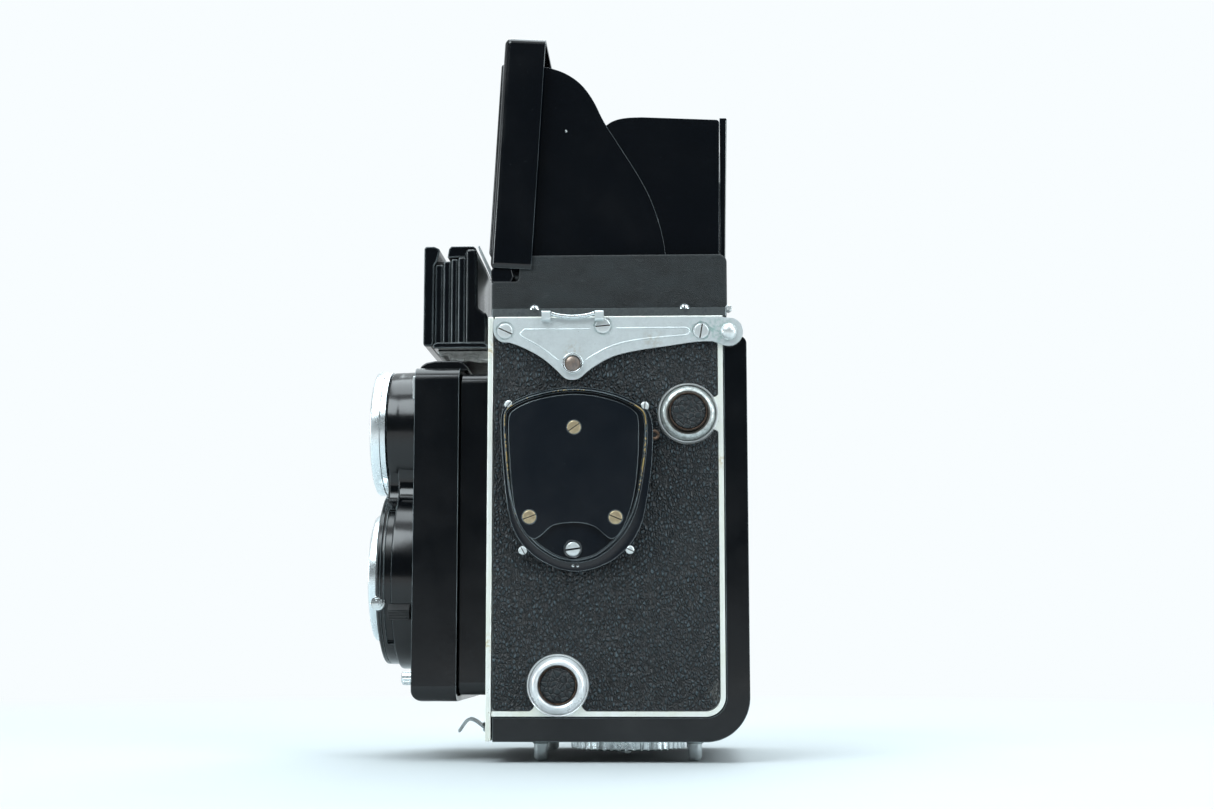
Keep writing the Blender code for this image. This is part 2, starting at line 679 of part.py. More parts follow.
def cell_window():
    """The light cell behind its ribbed window, in a frame on the front of the housing."""
    frame = block((-58.0, -23, 120.0), (-54.9, 23, 150.1), 1.0, "XYZ", 2)
    window = node("cell_window", frame, MATT)
    for rib in range(5):
        y = -16 + 8 * rib
        cut(window, block((-60, y - 2.8, 126), (-57.0, y + 2.8, 145)))


def cell_bracket():
    """The sheet-metal shelf that carries the cell, over the top of the lens panel."""
    outline = [(-54.0, 119.2), (-54.0, 118.4), (-49.4, 115.4), (-37.4, 115.3), (-37.4, 119.2)]
    node("cell_bracket", prism(outline, -20, 20), GREY)


def cell_shield():
    """The sheet behind the cell, bent away from the lid."""
    outline = [(-42.9, 151.5), (-42.1, 151.8), (-37.9, 141.6), (-37.9, 126.2), (-38.6, 126.2), (-38.6, 141.2)]
    node("cell_shield", prism(outline, -16, 16), GREY)


# ---------------------------------------------------------------- winding crank on the far side
def crank():
    x, z = 7.0, 74.0
    base = TRIM_FACE + 0.2
    rim = [(0, base), (15, base), (15, base + 1.4), (13.6, base + 2.2), (0, base + 2.2)]
    node("crank_plate", turned(rim, "Y", (x, 0, z)), SATIN)
    arm = node(
        "crank_arm",
        disc(7.0, base + 2.5, base + 5.2, "Y", (x, 0, z), 28, 0.5),
        CHROME,
        (x, 0, z),
    )
    join(arm, block((x - 4, base + 2.9, z - 30), (x + 4, base + 4.9, z), 1.2, "Y"))
    profile = [(0, base + 5.2), (3.4, base + 5.2), (4.3, base + 6.2), (4.3, FAR_MOST - 0.9)]
    profile += [(3.5, FAR_MOST), (0, FAR_MOST)]
    node("crank_handle", turned(profile, "Y", (x, 0, z - 26), 28), MATT, (x, 0, z - 26))


def counter_window():
    spot = (-16, 0, 98)
    low = TRIM_FACE + 0.2
    node("counter_window", disc(5.0, low, low + 1.6, "Y", spot, 28, 0.5), GLASS)


# ---------------------------------------------------------------- hood
def hood_rail():
    """The plate between the body and the hood, with the opening for the focusing screen."""
    rail = node("hood_rail", block((-36.4, -37.0, 126.0), (31.2, 37.0, RAIL_TOP - 0.1), 0.6, "Z"), GREY)
    cut(rail, block((-34.9, -28.9, 125), (23.1, 28.9, 130)))


def focusing_screen():
    node("focusing_screen", block((-34.6, -28.6, 126.1), (22.8, 28.6, 127.7)), GLASS)


def hood_base():
    """The leather-covered walls of the hood, lower in front and behind, where lid and panel stand."""
    base = node(
        "hood_base",
        block((HOOD_FRONT, -HOOD_HALF, RAIL_TOP + 0.1), (HOOD_REAR, HOOD_HALF, HOOD_TOP), 1.8, "Z"),
        WORN,
    )
    inside = HOOD_HALF - HOOD_WALL
    cut(
        base,
        block((HOOD_FRONT + HOOD_WALL, -inside, 127), (HOOD_REAR - 1.2, inside, 150)),
        block((HOOD_FRONT - 1, -40, 136.9), (-29.4, 40, 150)),
        block((28, -inside, 139.4), (40, inside, 150)),
    )
    for sign in (-1, 1):
        join(base, side(block((-36.2, -34.6, 136.4), (-31.0, -28.6, 137.6)), sign))
    corner = block((HOOD_REAR - 2, -40, HOOD_TOP - 2), (HOOD_REAR + 2, 40, HOOD_TOP + 2))
    keep = disc(2.0, -41, 41, "Y", (HOOD_REAR - 2, 0, HOOD_TOP - 2), 24)
    rounding = bpy.data.objects.new("hood_base_round", to_mesh(keep, "hood_base_round", (0, 0, 0)))
    rounding.location = place((0, 0, 0))
    rounding.hide_render = True
    rounding.display_type = "WIRE"
    CUTTERS.objects.link(rounding)
    boolean(base, corner, "DIFFERENCE")
    tool = bpy.data.objects[base.modifiers[-1].name]
    bite = tool.modifiers.new("round", "BOOLEAN")
    bite.object = rounding
    bite.solver = "EXACT"


def leaf_outlines(top):
    """The front and rear plates of a side leaf, above its hinge and up to a height."""
    foot_z = 0.4
    shape = [(13.6, foot_z), (13.9, 6.6), (12.7, 13.4), (9.9, 22.4), (6.1, 29.9), (-0.6, 40.6), (-4.4, 46.6)]
    shape += [(-7.0, 52.6), (-10.6, 57.8), (-15.4, 61.3), (-20.5, top)]
    front = [(-30.5, foot_z), *softened(shape), (-27.4, top)]
    rear = [(-3.0, foot_z), (29.2, foot_z), (29.75, 46.7), (3.4, 47.8), (-1.4, 47.1), (-3.8, 45.6)]
    return front, rear


def side_leaf(name, sign, hinge_z, top):
    """A folding side of the hood: a tall front plate outside, a rear plate riveted inside it."""
    front, rear = ([(x, z + hinge_z) for x, z in outline] for outline in leaf_outlines(top))
    outer, middle = -LEAF_OUTER, -LEAF_OUTER + LEAF_SHEET
    leaf = node(
        name,
        side(prism(front, outer, middle), sign),
        GLOSS,
        (0, sign * (LEAF_OUTER - 0.4), hinge_z),
    )
    join(leaf, side(prism(rear, middle - 0.2, middle + LEAF_SHEET - 0.2), sign))


def rear_panel():
    """The back of the hood, leaning back a little, which folds forward over the side leaves."""
    sheet = block((PANEL_X - 0.45, -30.8, PANEL_Z - 0.35), (PANEL_X + 0.45, 30.8, 186.3), 1.5, "X")
    lean = leaned(sheet, PANEL_LEAN, (PANEL_X, PANEL_Z))
    node("hood_rear_panel", lean, GLOSS, (PANEL_X, 0, PANEL_Z))


def lid():
    """The lid: a shallow tray with a raised field, which stands up in front of the hood and leans back."""
    front, wall = -37.2, 0.8
    outer = block((front, -LID_HALF, 140.4), (front + LID_DEPTH, LID_HALF, LID_TOP + 0.4), 1.5, "X")
    half = LID_HALF - wall
    hollow = block((front + wall, -half, 130), (front + 20, half, LID_TOP - wall + 0.4), 0.8, "X")
    cover = node("hood_lid", leaned(outer, LID_LEAN, LID_PIVOT), GLOSS, (LID_PIVOT[0], 0, LID_PIVOT[1]))
    cut(cover, leaned(hollow, LID_LEAN, LID_PIVOT))
    x, z = MAGNIFIER_PIVOT
    for sign in (-1, 1):
        join(cover, side(block((x - 2.8, -18.0, z - 1.6), (x + 1.2, -16.8, z + 1.6)), sign))


def magnifier():
    """The flip-up magnifier, hanging flat behind the lid."""
    x, z = MAGNIFIER_PIVOT
    frame = block((x - 1.1, -14.5, z - 36), (x + 1.1, 14.5, z), 3.0, "X")
    holder = node("magnifier_frame", frame, MATT, (x, 0, z))
    cut(holder, disc(12.2, x - 3, x + 3, "X", (0, 0, z - 20), 36))
    join(holder, disc(1.3, -16.5, 16.5, "Y", (x, 0, z), 16))
    profile = [(0, x - 1.8), (7, x - 1.5), (11.9, x - 0.5), (11.9, x + 0.5), (7, x + 1.5), (0, x + 1.8)]
    node("magnifier_lens", turned(profile, "X", (0, 0, z - 20), 36), GLASS, (x, 0, z))


# ---------------------------------------------------------------- the whole camera
def build():
    body_casting()
    front_plate()
    for name, sign in (("left", -1), ("right", 1)):
        side_trim(f"side_trim_{name}", sign)
        side_leather(f"side_leather_{name}", sign)
        strap_plate(f"strap_plate_{name}", sign)
        strap_bail(f"strap_bail_{name}", sign)
    meter_case()
    meter_face()
    spool_knob("spool_knob_lower", SUPPLY, LOWER_KNOB_REACH)
    spool_knob("spool_knob_upper", TAKE_UP, -NEAR_MOST)
    spool("supply_spool", SUPPLY)
    spool("take_up_spool", TAKE_UP)
    film_drive()
    film_roller("film_roller_lower", (23.6, 19.4), 3.6)
    mirror()
    back_cover()
    back_leather()
    pressure_plate()
    lock_dial()
    tripod_socket()
    for row, y in (("near", -26), ("far", 26)):
        foot(f"foot_{row}_front", -22.4, y)
        foot(f"foot_{row}_rear", 21.4, y)
    shroud_box()
    standard()
    shutter_housing()
    exposure_ring()
    lens_ring("taking_bayonet", TAKING_Z, -74.1, -70.1)
    lens_ring("viewing_bayonet", VIEWING_Z, LENS_FRONT, -69.6)
    lens_barrel("taking_barrel", TAKING_Z, -73.4, -54.0, -68.6)
    lens_barrel("viewing_barrel", VIEWING_Z, -73.6, -59.4, -69.2)
    lens_glass("taking_glass", TAKING_Z, -67.0, 9.9, 1.4)
    lens_glass("viewing_glass", VIEWING_Z, -67.6, 9.9, 1.4)
    viewing_collar()
    timer_lever()
    release_button()
    focus_lever()
    cell_housing()
    cell_window()
    cell_bracket()
    cell_shield()
    crank()
    counter_window()
    hood_rail()
    focusing_screen()
    hood_base()
    side_leaf("hood_leaf_left", -1, LEFT_LEAF_Z, 63.0)
    side_leaf("hood_leaf_right", 1, RIGHT_LEAF_Z, 63.0)
    rear_panel()
    lid()
    magnifier()


build()
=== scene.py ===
import math

import bmesh
import bpy
from mathutils import Matrix, Vector


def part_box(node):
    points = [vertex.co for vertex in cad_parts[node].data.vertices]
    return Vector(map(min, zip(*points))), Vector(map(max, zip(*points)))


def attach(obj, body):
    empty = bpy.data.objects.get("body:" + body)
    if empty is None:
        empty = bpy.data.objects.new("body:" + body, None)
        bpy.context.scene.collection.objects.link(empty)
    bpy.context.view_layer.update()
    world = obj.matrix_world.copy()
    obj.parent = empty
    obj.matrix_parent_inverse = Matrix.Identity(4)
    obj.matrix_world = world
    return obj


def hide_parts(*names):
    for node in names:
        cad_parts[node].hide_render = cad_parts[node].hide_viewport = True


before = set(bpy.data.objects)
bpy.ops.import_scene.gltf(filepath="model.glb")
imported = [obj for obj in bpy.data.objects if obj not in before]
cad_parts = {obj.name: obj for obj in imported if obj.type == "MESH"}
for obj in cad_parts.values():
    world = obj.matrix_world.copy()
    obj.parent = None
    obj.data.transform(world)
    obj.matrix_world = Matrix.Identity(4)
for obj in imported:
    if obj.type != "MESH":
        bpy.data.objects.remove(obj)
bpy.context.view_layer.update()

# The design frame, in millimetres: X from the middle of the body, Y from the middle of the lenses and
# Z from the table. The lenses face -X, and -Y is the near side, the one that the photograph shows.
MM = 0.001
CASTING_LOW, CASTING_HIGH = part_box("body_casting")
BODY_FRONT, BODY_REAR = -35.4, 29.9
BODY_BOTTOM, BODY_TOP = 12.8, 125.8
ORIGIN = Vector((CASTING_LOW[0] - BODY_FRONT * MM, (CASTING_LOW[1] + CASTING_HIGH[1]) / 2, 0))

TRIM_FACE = 39.0
TRIM_INNER = 38.1
PLATE_FACE = 40.1
PLATE_TOP = 125.2
BAIL_LUGS, BAIL_HEIGHT = (-20.35, -5.2), 126.3
STUD = (-12.8, 0, 111.95)
TAKING_Z, VIEWING_Z = 52.6, 96.6
SUPPLY = (-16.8, 21.4)
TAKE_UP = (19.96, 97.65)
BACK_HINGE = (31.6, 120.9)
STANDARD_FRONT, STANDARD_REAR = -58.7, -45.9
SHUTTER_BUTTON = (-28, 23.2)
LID_PIVOT = (-34.6, 138.4)
LID_LEAN = math.radians(3.3)
PANEL_X, PANEL_Z, PANEL_LEAN = 30.4, 140.6, math.radians(1.1)
LEFT_LEAF_Z, RIGHT_LEAF_Z, LEAF_TOP = 138.5, 136.2, 63.0
MAGNIFIER = (-31.0, 196.0)
CRANK, CRANK_REACH = (7.0, 74.0), 26
COUNTER = (-16, 98)
DIAL_X = 1.8
SIDES = (("near", -1), ("far", 1))

MANY = 96  # steps round a turned shape
MERGE = 1e-4  # points nearer than this, in design millimetres, become one
FLAT = math.radians(0.5)  # neighbouring faces that differ by less become one
SHARP = math.radians(32)  # an edge that turns more is sharp, or bevelled

# Where a point (a, b) of an outline goes at a depth along each axis.
SPOTS = {
    "X": lambda a, b, depth: (depth, a, b),
    "Y": lambda a, b, depth: (a, depth, b),
    "Z": lambda a, b, depth: (a, b, depth),
}


def metres(point):
    """A design point in the shared frame, in metres."""
    return ORIGIN + Vector(point) * MM


# ---------------------------------------------------------------- shapes, as bmeshes in design millimetres
def to_axis(axis):
    """The turn that lays a shape drawn along Z along another axis."""
    if axis == "X":
        return Matrix.Rotation(math.radians(90), 4, "Y")
    if axis == "Y":
        return Matrix.Rotation(math.radians(-90), 4, "X")
    return Matrix.Identity(4)


def block(low, high, radius=0.0, along="XYZ", segments=6):
    """A box between two corners, its edges along the named axes rounded."""
    shape = bmesh.new()
    bmesh.ops.create_cube(shape, size=1.0)
    low, high = Vector(low), Vector(high)
    bmesh.ops.scale(shape, vec=high - low, verts=shape.verts)
    bmesh.ops.translate(shape, vec=(low + high) / 2, verts=shape.verts)
    if radius:
        chosen = []
        for edge in shape.edges:
            run = edge.verts[0].co - edge.verts[1].co
            if "XYZ"[max(range(3), key=lambda i: abs(run[i]))] in along:
                chosen.append(edge)
        bmesh.ops.bevel(shape, geom=chosen, offset=radius, segments=segments, profile=0.5, affect="EDGES")
    return shape


def prism(outline, low, high, axis="Y"):
    """A flat outline, as (x, z) for axis Y, (y, z) for X or (x, y) for Z, extruded along the axis."""
    spot = SPOTS[axis]
    shape = bmesh.new()
    face = shape.faces.new([shape.verts.new(spot(a, b, low)) for a, b in outline])
    grown = bmesh.ops.extrude_face_region(shape, geom=[face])
    moved = [item for item in grown["geom"] if isinstance(item, bmesh.types.BMVert)]
    bmesh.ops.translate(shape, vec=spot(0, 0, high - low), verts=moved)
    bmesh.ops.recalc_face_normals(shape, faces=shape.faces)
    return shape


def loft(rows, axis):
    """A closed shape through (outline, depth) loops of equally many points, capped at both ends."""
    shape = bmesh.new()
    loops = [[shape.verts.new(SPOTS[axis](a, b, depth)) for a, b in outline] for outline, depth in rows]
    count = len(loops[0])
    for first, second in zip(loops, loops[1:]):
        for i in range(count):
            j = (i + 1) % count
            shape.faces.new((first[i], first[j], second[j], second[i]))
    shape.faces.new(list(reversed(loops[0])))
    shape.faces.new(loops[-1])
    bmesh.ops.recalc_face_normals(shape, faces=shape.faces)
    return shape


def turned(profile, axis="Z", centre=(0, 0, 0), steps=MANY):
    """A turned shape from (radius, height) points: solid when both ends are on the axis, else a ring."""
    shape = bmesh.new()
    verts = [shape.verts.new((radius, 0, height)) for radius, height in profile]
    solid = profile[0][0] == 0 and profile[-1][0] == 0
    after = verts[1:] if solid else [*verts[1:], verts[0]]
    edges = [shape.edges.new(pair) for pair in zip(verts, after)]
    bmesh.ops.spin(
        shape, geom=verts + edges, cent=(0, 0, 0), axis=(0, 0, 1), dvec=(0, 0, 0),
        angle=math.tau, steps=steps, use_merge=True,
    )
    bmesh.ops.remove_doubles(shape, verts=shape.verts, dist=MERGE)
    shape.transform(Matrix.Translation(Vector(centre)) @ to_axis(axis))
    bmesh.ops.recalc_face_normals(shape, faces=shape.faces)
    return shape


def disc(radius, low, high, axis="Z", centre=(0, 0, 0), steps=MANY):
    return turned([(0, low), (radius, low), (radius, high), (0, high)], axis, centre, steps)


def discs(points, radius, low, high, axis, steps=MANY):
    """A disc at each (a, b) point of the plane across an axis."""
    return [disc(radius, low, high, axis, SPOTS[axis](a, b, 0), steps) for a, b in points]


def ring(inner, outer, low, high, axis="Z", centre=(0, 0, 0), steps=MANY):
    return turned([(inner, low), (outer, low), (outer, high), (inner, high)], axis, centre, steps)


def arc(centre, radius, start, end, count):
    angles = [math.radians(start + (end - start) * i / (count - 1)) for i in range(count)]
    return [(centre[0] + radius * math.cos(a), centre[1] + radius * math.sin(a)) for a in angles]


def around(centre, radius, count, start=0.0):
    """Points at equal steps round a whole circle."""
    return arc(centre, radius, start, start + 360, count + 1)[:-1]


def domed(radius, rise, count):
    """(radius, height) points of a dome, from its top at rise to its rim at height 0."""
    angles = [math.pi / 2 * i / count for i in range(count + 1)]
    return [(radius * math.sin(a), rise * math.cos(a)) for a in angles]


def softened(points, rounds=3, cut=0.25, closed=False):
    """A run or a closed loop of points with its corners cut, round after round."""
    for _ in range(rounds):
        run = [] if closed else [points[0]]
        after = [*points[1:], points[0]] if closed else points[1:]
        for (ax, az), (bx, bz) in zip(points, after):
            run.append(((1 - cut) * ax + cut * bx, (1 - cut) * az + cut * bz))
            run.append((cut * ax + (1 - cut) * bx, cut * az + (1 - cut) * bz))
        points = run if closed else [*run, points[-1]]
    return points


def side(shape, sign):
    """A shape drawn on the near side, kept for sign -1 and mirrored for sign +1."""
    if sign > 0:
        bmesh.ops.scale(shape, vec=(1, -1, 1), verts=shape.verts)
        bmesh.ops.reverse_faces(shape, faces=shape.faces)
    return shape


def leaned(shape, angle=LID_LEAN, pivot=LID_PIVOT):
    centre = Vector((pivot[0], 0, pivot[1]))
    turn = Matrix.Rotation(angle, 4, "Y")
    shape.transform(Matrix.Translation(centre) @ turn @ Matrix.Translation(-centre))
    return shape


def linked(name, data):
    """A new object in the scene."""
    obj = bpy.data.objects.new(name, data)
    bpy.context.scene.collection.objects.link(obj)
    return obj


def plain_object(shape, name):
    mesh = bpy.data.meshes.new(name)
    shape.to_mesh(mesh)
    shape.free()
    return linked(name, mesh)


def carved(shape, cuts=(), joins=()):
    """The shape with others joined on and then others cut out."""
    base = plain_object(shape, "carving")
    helpers = []
    for operation, group in (("UNION", joins), ("DIFFERENCE", cuts)):
        for other in group:
            helper = plain_object(other, "carver")
            modifier = base.modifiers.new("carve", "BOOLEAN")
            modifier.operation, modifier.object, modifier.solver = operation, helper, "EXACT"
            helpers.append(helper)
    graph = bpy.context.evaluated_depsgraph_get()
    result = bmesh.new()
    result.from_mesh(base.evaluated_get(graph).to_mesh())
    for obj in (base, *helpers):
        bpy.data.objects.remove(obj)
    bmesh.ops.remove_doubles(result, verts=result.verts, dist=MERGE)
    bmesh.ops.dissolve_limit(result, angle_limit=FLAT, verts=result.verts, edges=result.edges)
    return result


def settle(obj, body, stands_for):
    """Lets a finished piece ride on its CAD body, in place of the CAD nodes that it stands for."""
    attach(obj, body)
    if stands_for:
        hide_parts(*stands_for)


def piece(name, shape, look, body, stands_for=(), bevel=0.0, segments=3):
    """One visible piece, its edges rounded by bevel millimetres."""
    shape.transform(Matrix.Translation(ORIGIN) @ Matrix.Scale(MM, 4))
    obj = plain_object(shape, name)
    obj.data.materials.append(look)
    if bevel:
        rounding = obj.modifiers.new("edge", "BEVEL")
        rounding.width = bevel * MM
        rounding.segments = segments
        rounding.limit_method = "ANGLE"
        rounding.angle_limit = SHARP
        rounding.miter_outer = "MITER_ARC"
    obj.data.shade_smooth()
    obj.data.set_sharp_from_angle(angle=math.pi if bevel else SHARP)
    if bevel:
        obj.modifiers.new("normals", "WEIGHTED_NORMAL").keep_sharp = True
    settle(obj, body, stands_for)


def wire(name, points, radius, look, body, stands_for=()):
    """A round wire or bead through design points."""
    curve = bpy.data.curves.new(name, "CURVE")
    curve.dimensions = "3D"
    curve.bevel_depth = radius * MM
    curve.bevel_resolution = 4
    curve.use_fill_caps = True
    spline = curve.splines.new("POLY")
    spline.points.add(len(points) - 1)
    for spot, point in zip(spline.points, points):
        spot.co = (*metres(point), 1.0)
    curve.materials.append(look)
    helper = linked(name + "_curve", curve)
    graph = bpy.context.evaluated_depsgraph_get()
    mesh = bpy.data.meshes.new_from_object(helper.evaluated_get(graph))
    bpy.data.objects.remove(helper)
    mesh.shade_smooth()
    settle(linked(name, mesh), body, stands_for)


# ---------------------------------------------------------------- materials
SPECULAR = "Specular IOR Level"
GLASSY = "Transmission Weight"


class Nodes:
    """A node tree, with short calls for the nodes that the materials and the sky use."""

    def __init__(self, tree, space="Object"):
        self.tree = tree
        self.place = self.add("ShaderNodeTexCoord", {}, space)

    def feed(self, target, value):
        """Links a socket to an input, or sets the input to a number, a vector or a colour."""
        if isinstance(value, bpy.types.NodeSocket):
            self.tree.links.new(value, target)
        else:
            target.default_value = (*value, 1) if target.type == "RGBA" else value

    def add(self, kind, inputs, output=0, **settings):
        """One output of a new node, whose inputs are fed by name or number."""
        node = self.tree.nodes.new(kind)
        for key, value in settings.items():
            setattr(node, key, value)
        for key, value in inputs.items():
            self.feed(node.inputs[key], value)
        return node.outputs[output]

    def ramp(self, source, low, high, start=0.0, end=1.0, kind="LINEAR"):
        inputs = {"Value": source, "From Min": low, "From Max": high, "To Min": start, "To Max": end}
        return self.add("ShaderNodeMapRange", inputs, "Result", clamp=True, interpolation_type=kind)

    def math(self, operation, first, second=0.0):
        return self.add("ShaderNodeMath", {0: first, 1: second}, operation=operation)

    def times(self, first, second):
        return self.math("MULTIPLY", first, second)

    def plus(self, first, second):
        return self.math("ADD", first, second)

    def along(self, axis):
        return self.add("ShaderNodeSeparateXYZ", {0: self.place}, axis)


class Look(Nodes):
    """A material being built. Sizes are in millimetres."""

    def __init__(self, name, colour, roughness, metallic=0.0):
        self.material = bpy.data.materials.new(name)
        self.material.use_nodes = True
        super().__init__(self.material.node_tree)
        self.shader = self.tree.nodes["Principled BSDF"]
        self.shade({"Base Color": colour, "Roughness": roughness, "Metallic": metallic})

    def shade(self, inputs):
        for key, value in inputs.items():
            self.feed(self.shader.inputs[key], value)

    def stretched(self, scale):
        return self.add("ShaderNodeMapping", {"Vector": self.place, "Scale": scale}) if scale else self.place

    def noise(self, size, detail=3.0, stretch=None, roughness=0.55):
        inputs = {"Scale": 1 / (size * MM), "Detail": detail, "Roughness": roughness}
        return self.add("ShaderNodeTexNoise", {**inputs, "Vector": self.stretched(stretch)}, "Fac")

    def cells(self, size, stretch=None):
        """How far a point lies from the border of its cell."""
        inputs = {"Scale": 1 / (size * MM), "Vector": self.stretched(stretch)}
        return self.add("ShaderNodeTexVoronoi", inputs, "Distance", feature="DISTANCE_TO_EDGE")

    def mix(self, factor, first, second):
        """A colour mix; either side is a colour or a socket."""
        return self.add("ShaderNodeMix", {0: factor, 6: first, 7: second}, 2, data_type="RGBA")

    def near(self, centre, radius):
        """1 at a design point, falling to 0 at a radius."""
        inputs = {0: self.place, 1: metres(centre)}
        gap = self.add("ShaderNodeVectorMath", inputs, "Value", operation="DISTANCE")
        return self.ramp(gap, radius * MM, 0.0)

    def stained(self, colour, spots, size, full):
        """The colour with blotches over it, each a (centre, radius, strength, stain)."""
        for centre, radius, strength, stain in spots:
            spread = self.times(self.near(centre, radius), self.ramp(self.noise(size, 4.0), 0.45, full))
            colour = self.mix(self.times(spread, strength), colour, stain)
        return colour

    def edges(self, radius):
        """1 along convex and concave edges, about radius wide."""
        rounded = self.add("ShaderNodeBevel", {"Radius": radius * MM}, "Normal", samples=4)
        flat = self.add("ShaderNodeNewGeometry", {}, "Normal")
        dot = self.add("ShaderNodeVectorMath", {0: rounded, 1: flat}, "Value", operation="DOT_PRODUCT")
        return self.ramp(dot, 0.992, 0.93)

    def done(self, colour=None, roughness=None, height=None, depth=0.0, more=()):
        """The finished material, with what is given on its shader and the height bumped by a depth."""
        inputs = {"Base Color": colour, "Roughness": roughness, **dict(more)}
        if height is not None:
            bump = {"Strength": 1.0, "Distance": depth * MM, "Height": height}
            inputs["Normal"] = self.add("ShaderNodeBump", bump, "Normal")
        self.shade({key: value for key, value in inputs.items() if value is not None})
        return self.material


def pebbled_leather():
    look = Look("pebbled_leather", (0.02, 0.022, 0.024), 0.5)
    cells = look.cells(0.82, (1.0, 1.0, 0.62))
    fine = look.noise(0.5, 2.0, (1, 1, 0.6))
    pebble = look.plus(look.ramp(cells, 0.0, 0.30), look.times(fine, 0.8))
    broad = look.ramp(look.noise(14, 3.0), 0.35, 0.65)
    # Painted light: the pebbles' tops are lightened as highlights and the creases between them darkened as shade, and
    # a painted glint sparkles on some tops.
    painted_relief_light = look.mix(look.ramp(pebble, 0.7, 1.5), (0.0006, 0.001, 0.0016), (0.027, 0.043, 0.053))
    tone_and_painted_light = look.mix(look.times(broad, 0.35), painted_relief_light, (0.005, 0.009, 0.012))
    glint = look.times(look.ramp(cells, 0.16, 0.34), look.ramp(look.noise(0.9, 2.0), 0.5, 0.62))
    tone_and_painted_light = look.mix(look.times(glint, 0.6), tone_and_painted_light, (0.10, 0.14, 0.16))
    worn = look.times(look.near((28.0, -38.9, 19.5), 4.0), look.ramp(fine, 0.4, 0.62))
    colour = look.mix(look.times(worn, 0.5), tone_and_painted_light, (0.22, 0.22, 0.2))
    return look.done(colour, look.ramp(fine, 0.3, 0.7, 0.24, 0.5), pebble, 0.5, {SPECULAR: 0.4})


def pad_leather():
    """The rougher leather of the knobs' discs."""
    look = Look("pad_leather", (0.02, 0.022, 0.024), 0.45)
    height = look.ramp(look.cells(1.5), 0.0, 0.2)
    # Painted shade: the grooves between the cells are darkened along with their depth.
    colour = look.mix(height, (0.002, 0.002, 0.003), (0.022, 0.028, 0.031))
    return look.done(colour, look.ramp(look.noise(0.4), 0.3, 0.7, 0.3, 0.5), height, 0.25, {SPECULAR: 0.3})


def smooth_leather():
    look = Look("smooth_leather", (0.04, 0.045, 0.047), 0.5)
    patches = look.noise(9, 4.0, (1, 1, 1.6), 0.65)
    scuffs = look.noise(2.2, 4.0, (0.5, 0.5, 2.0), 0.7)
    worn = look.mix(look.ramp(patches, 0.35, 0.68), (0.003, 0.005, 0.006), (0.009, 0.014, 0.016))
    worn = look.mix(look.ramp(scuffs, 0.6, 0.78, 0, 0.4), worn, (0.05, 0.06, 0.062))
    colour = look.mix(look.times(look.edges(0.6), 0.4), worn, (0.10, 0.11, 0.11))
    height = look.plus(look.times(scuffs, 0.8), look.ramp(look.cells(0.5), 0, 0.2, 0, 0.5))
    return look.done(colour, look.ramp(patches, 0.3, 0.7, 0.42, 0.62), height, 0.07, {SPECULAR: 0.4})


# Colours of the highlight painted along the edges of black enamel.
PAINTED_EDGE_HIGHLIGHT, BRIGHT_EDGE_HIGHLIGHT = (0.13, 0.16, 0.175), (0.34, 0.40, 0.42)
JET, SOOT = (0.002, 0.003, 0.0045), (0.0045, 0.007, 0.0105)


def enamel(name="stove_enamel", roughness=0.13, base=JET, gold=(), highlight_colour=PAINTED_EDGE_HIGHLIGHT, reach=0.28):
    """Black stove enamel, dulled by handling, rubbed to bare metal on its edges or, near spots, to brass, with a
    highlight painted along all its edges.
    """
    look = Look(name, base, roughness)
    haze = look.noise(14, 4.0)
    dust = look.ramp(look.noise(0.9, 2.0, None, 0.8), 0.71, 0.78)
    edge = look.edges(reach)
    bare = look.times(edge, look.ramp(look.noise(2.0, 4.0), 0.60, 0.68))
    # Painted highlight: every edge is lightened toward the highlight colour, more where the haze is high.
    edge_highlighted = look.mix(look.times(edge, look.ramp(haze, 0.3, 0.6, 0.25, 0.8)), base, highlight_colour)
    dust_and_highlight = look.mix(look.times(dust, 0.10), edge_highlighted, (0.2, 0.21, 0.21))
    colour = look.mix(bare, dust_and_highlight, (0.26, 0.29, 0.30))
    if gold:
        ridge = look.ramp(look.along("Y"), ORIGIN.y - 41.75 * MM, ORIGIN.y - 41.95 * MM)
        specks = look.noise(0.8, 3.0)
        for centre, radius, strength in gold:
            spread = look.times(look.near(centre, radius), strength)
            patch = look.times(look.ramp(look.plus(specks, spread), 0.74, 0.80), ridge)
            colour = look.mix(patch, colour, (0.66, 0.48, 0.2))
            bare = look.math("MAXIMUM", bare, patch)
    rough = look.ramp(haze, 0.3, 0.7, roughness - 0.04, roughness + 0.08)
    rough = look.plus(rough, look.times(bare, 0.15))
    return look.done(colour, rough, look.noise(1.6, 3.0), 0.006, {"Metallic": bare})


def satin(name, base=(0.73, 0.79, 0.80), roughness=0.4, stains=(), metallic=0.6, age=1.0):
    """Satin plated metal with grey clouding, fine scratches and, near some screws, green corrosion."""
    look = Look(name, base, roughness, metallic)
    cloud = look.noise(7, 5.0, None, 0.65)
    scratch = look.noise(0.5, 3.0, (0.12, 1, 1), 0.7)
    pits = look.ramp(look.noise(0.8, 2.0, None, 0.8), 0.70, 0.76)
    dull = tuple((1 - 0.3 * age) * c for c in base)
    colour = look.mix(look.ramp(cloud, 0.38, 0.7), base, dull)
    colour = look.mix(look.times(pits, 0.5 * age), colour, (0.16, 0.16, 0.13))
    colour = look.stained(colour, stains, 1.3, 0.6)
    rough = look.ramp(cloud, 0.3, 0.75, roughness - 0.07, roughness + 0.12)
    return look.done(colour, rough, look.plus(scratch, look.times(pits, -1.0)), 0.012 * age)


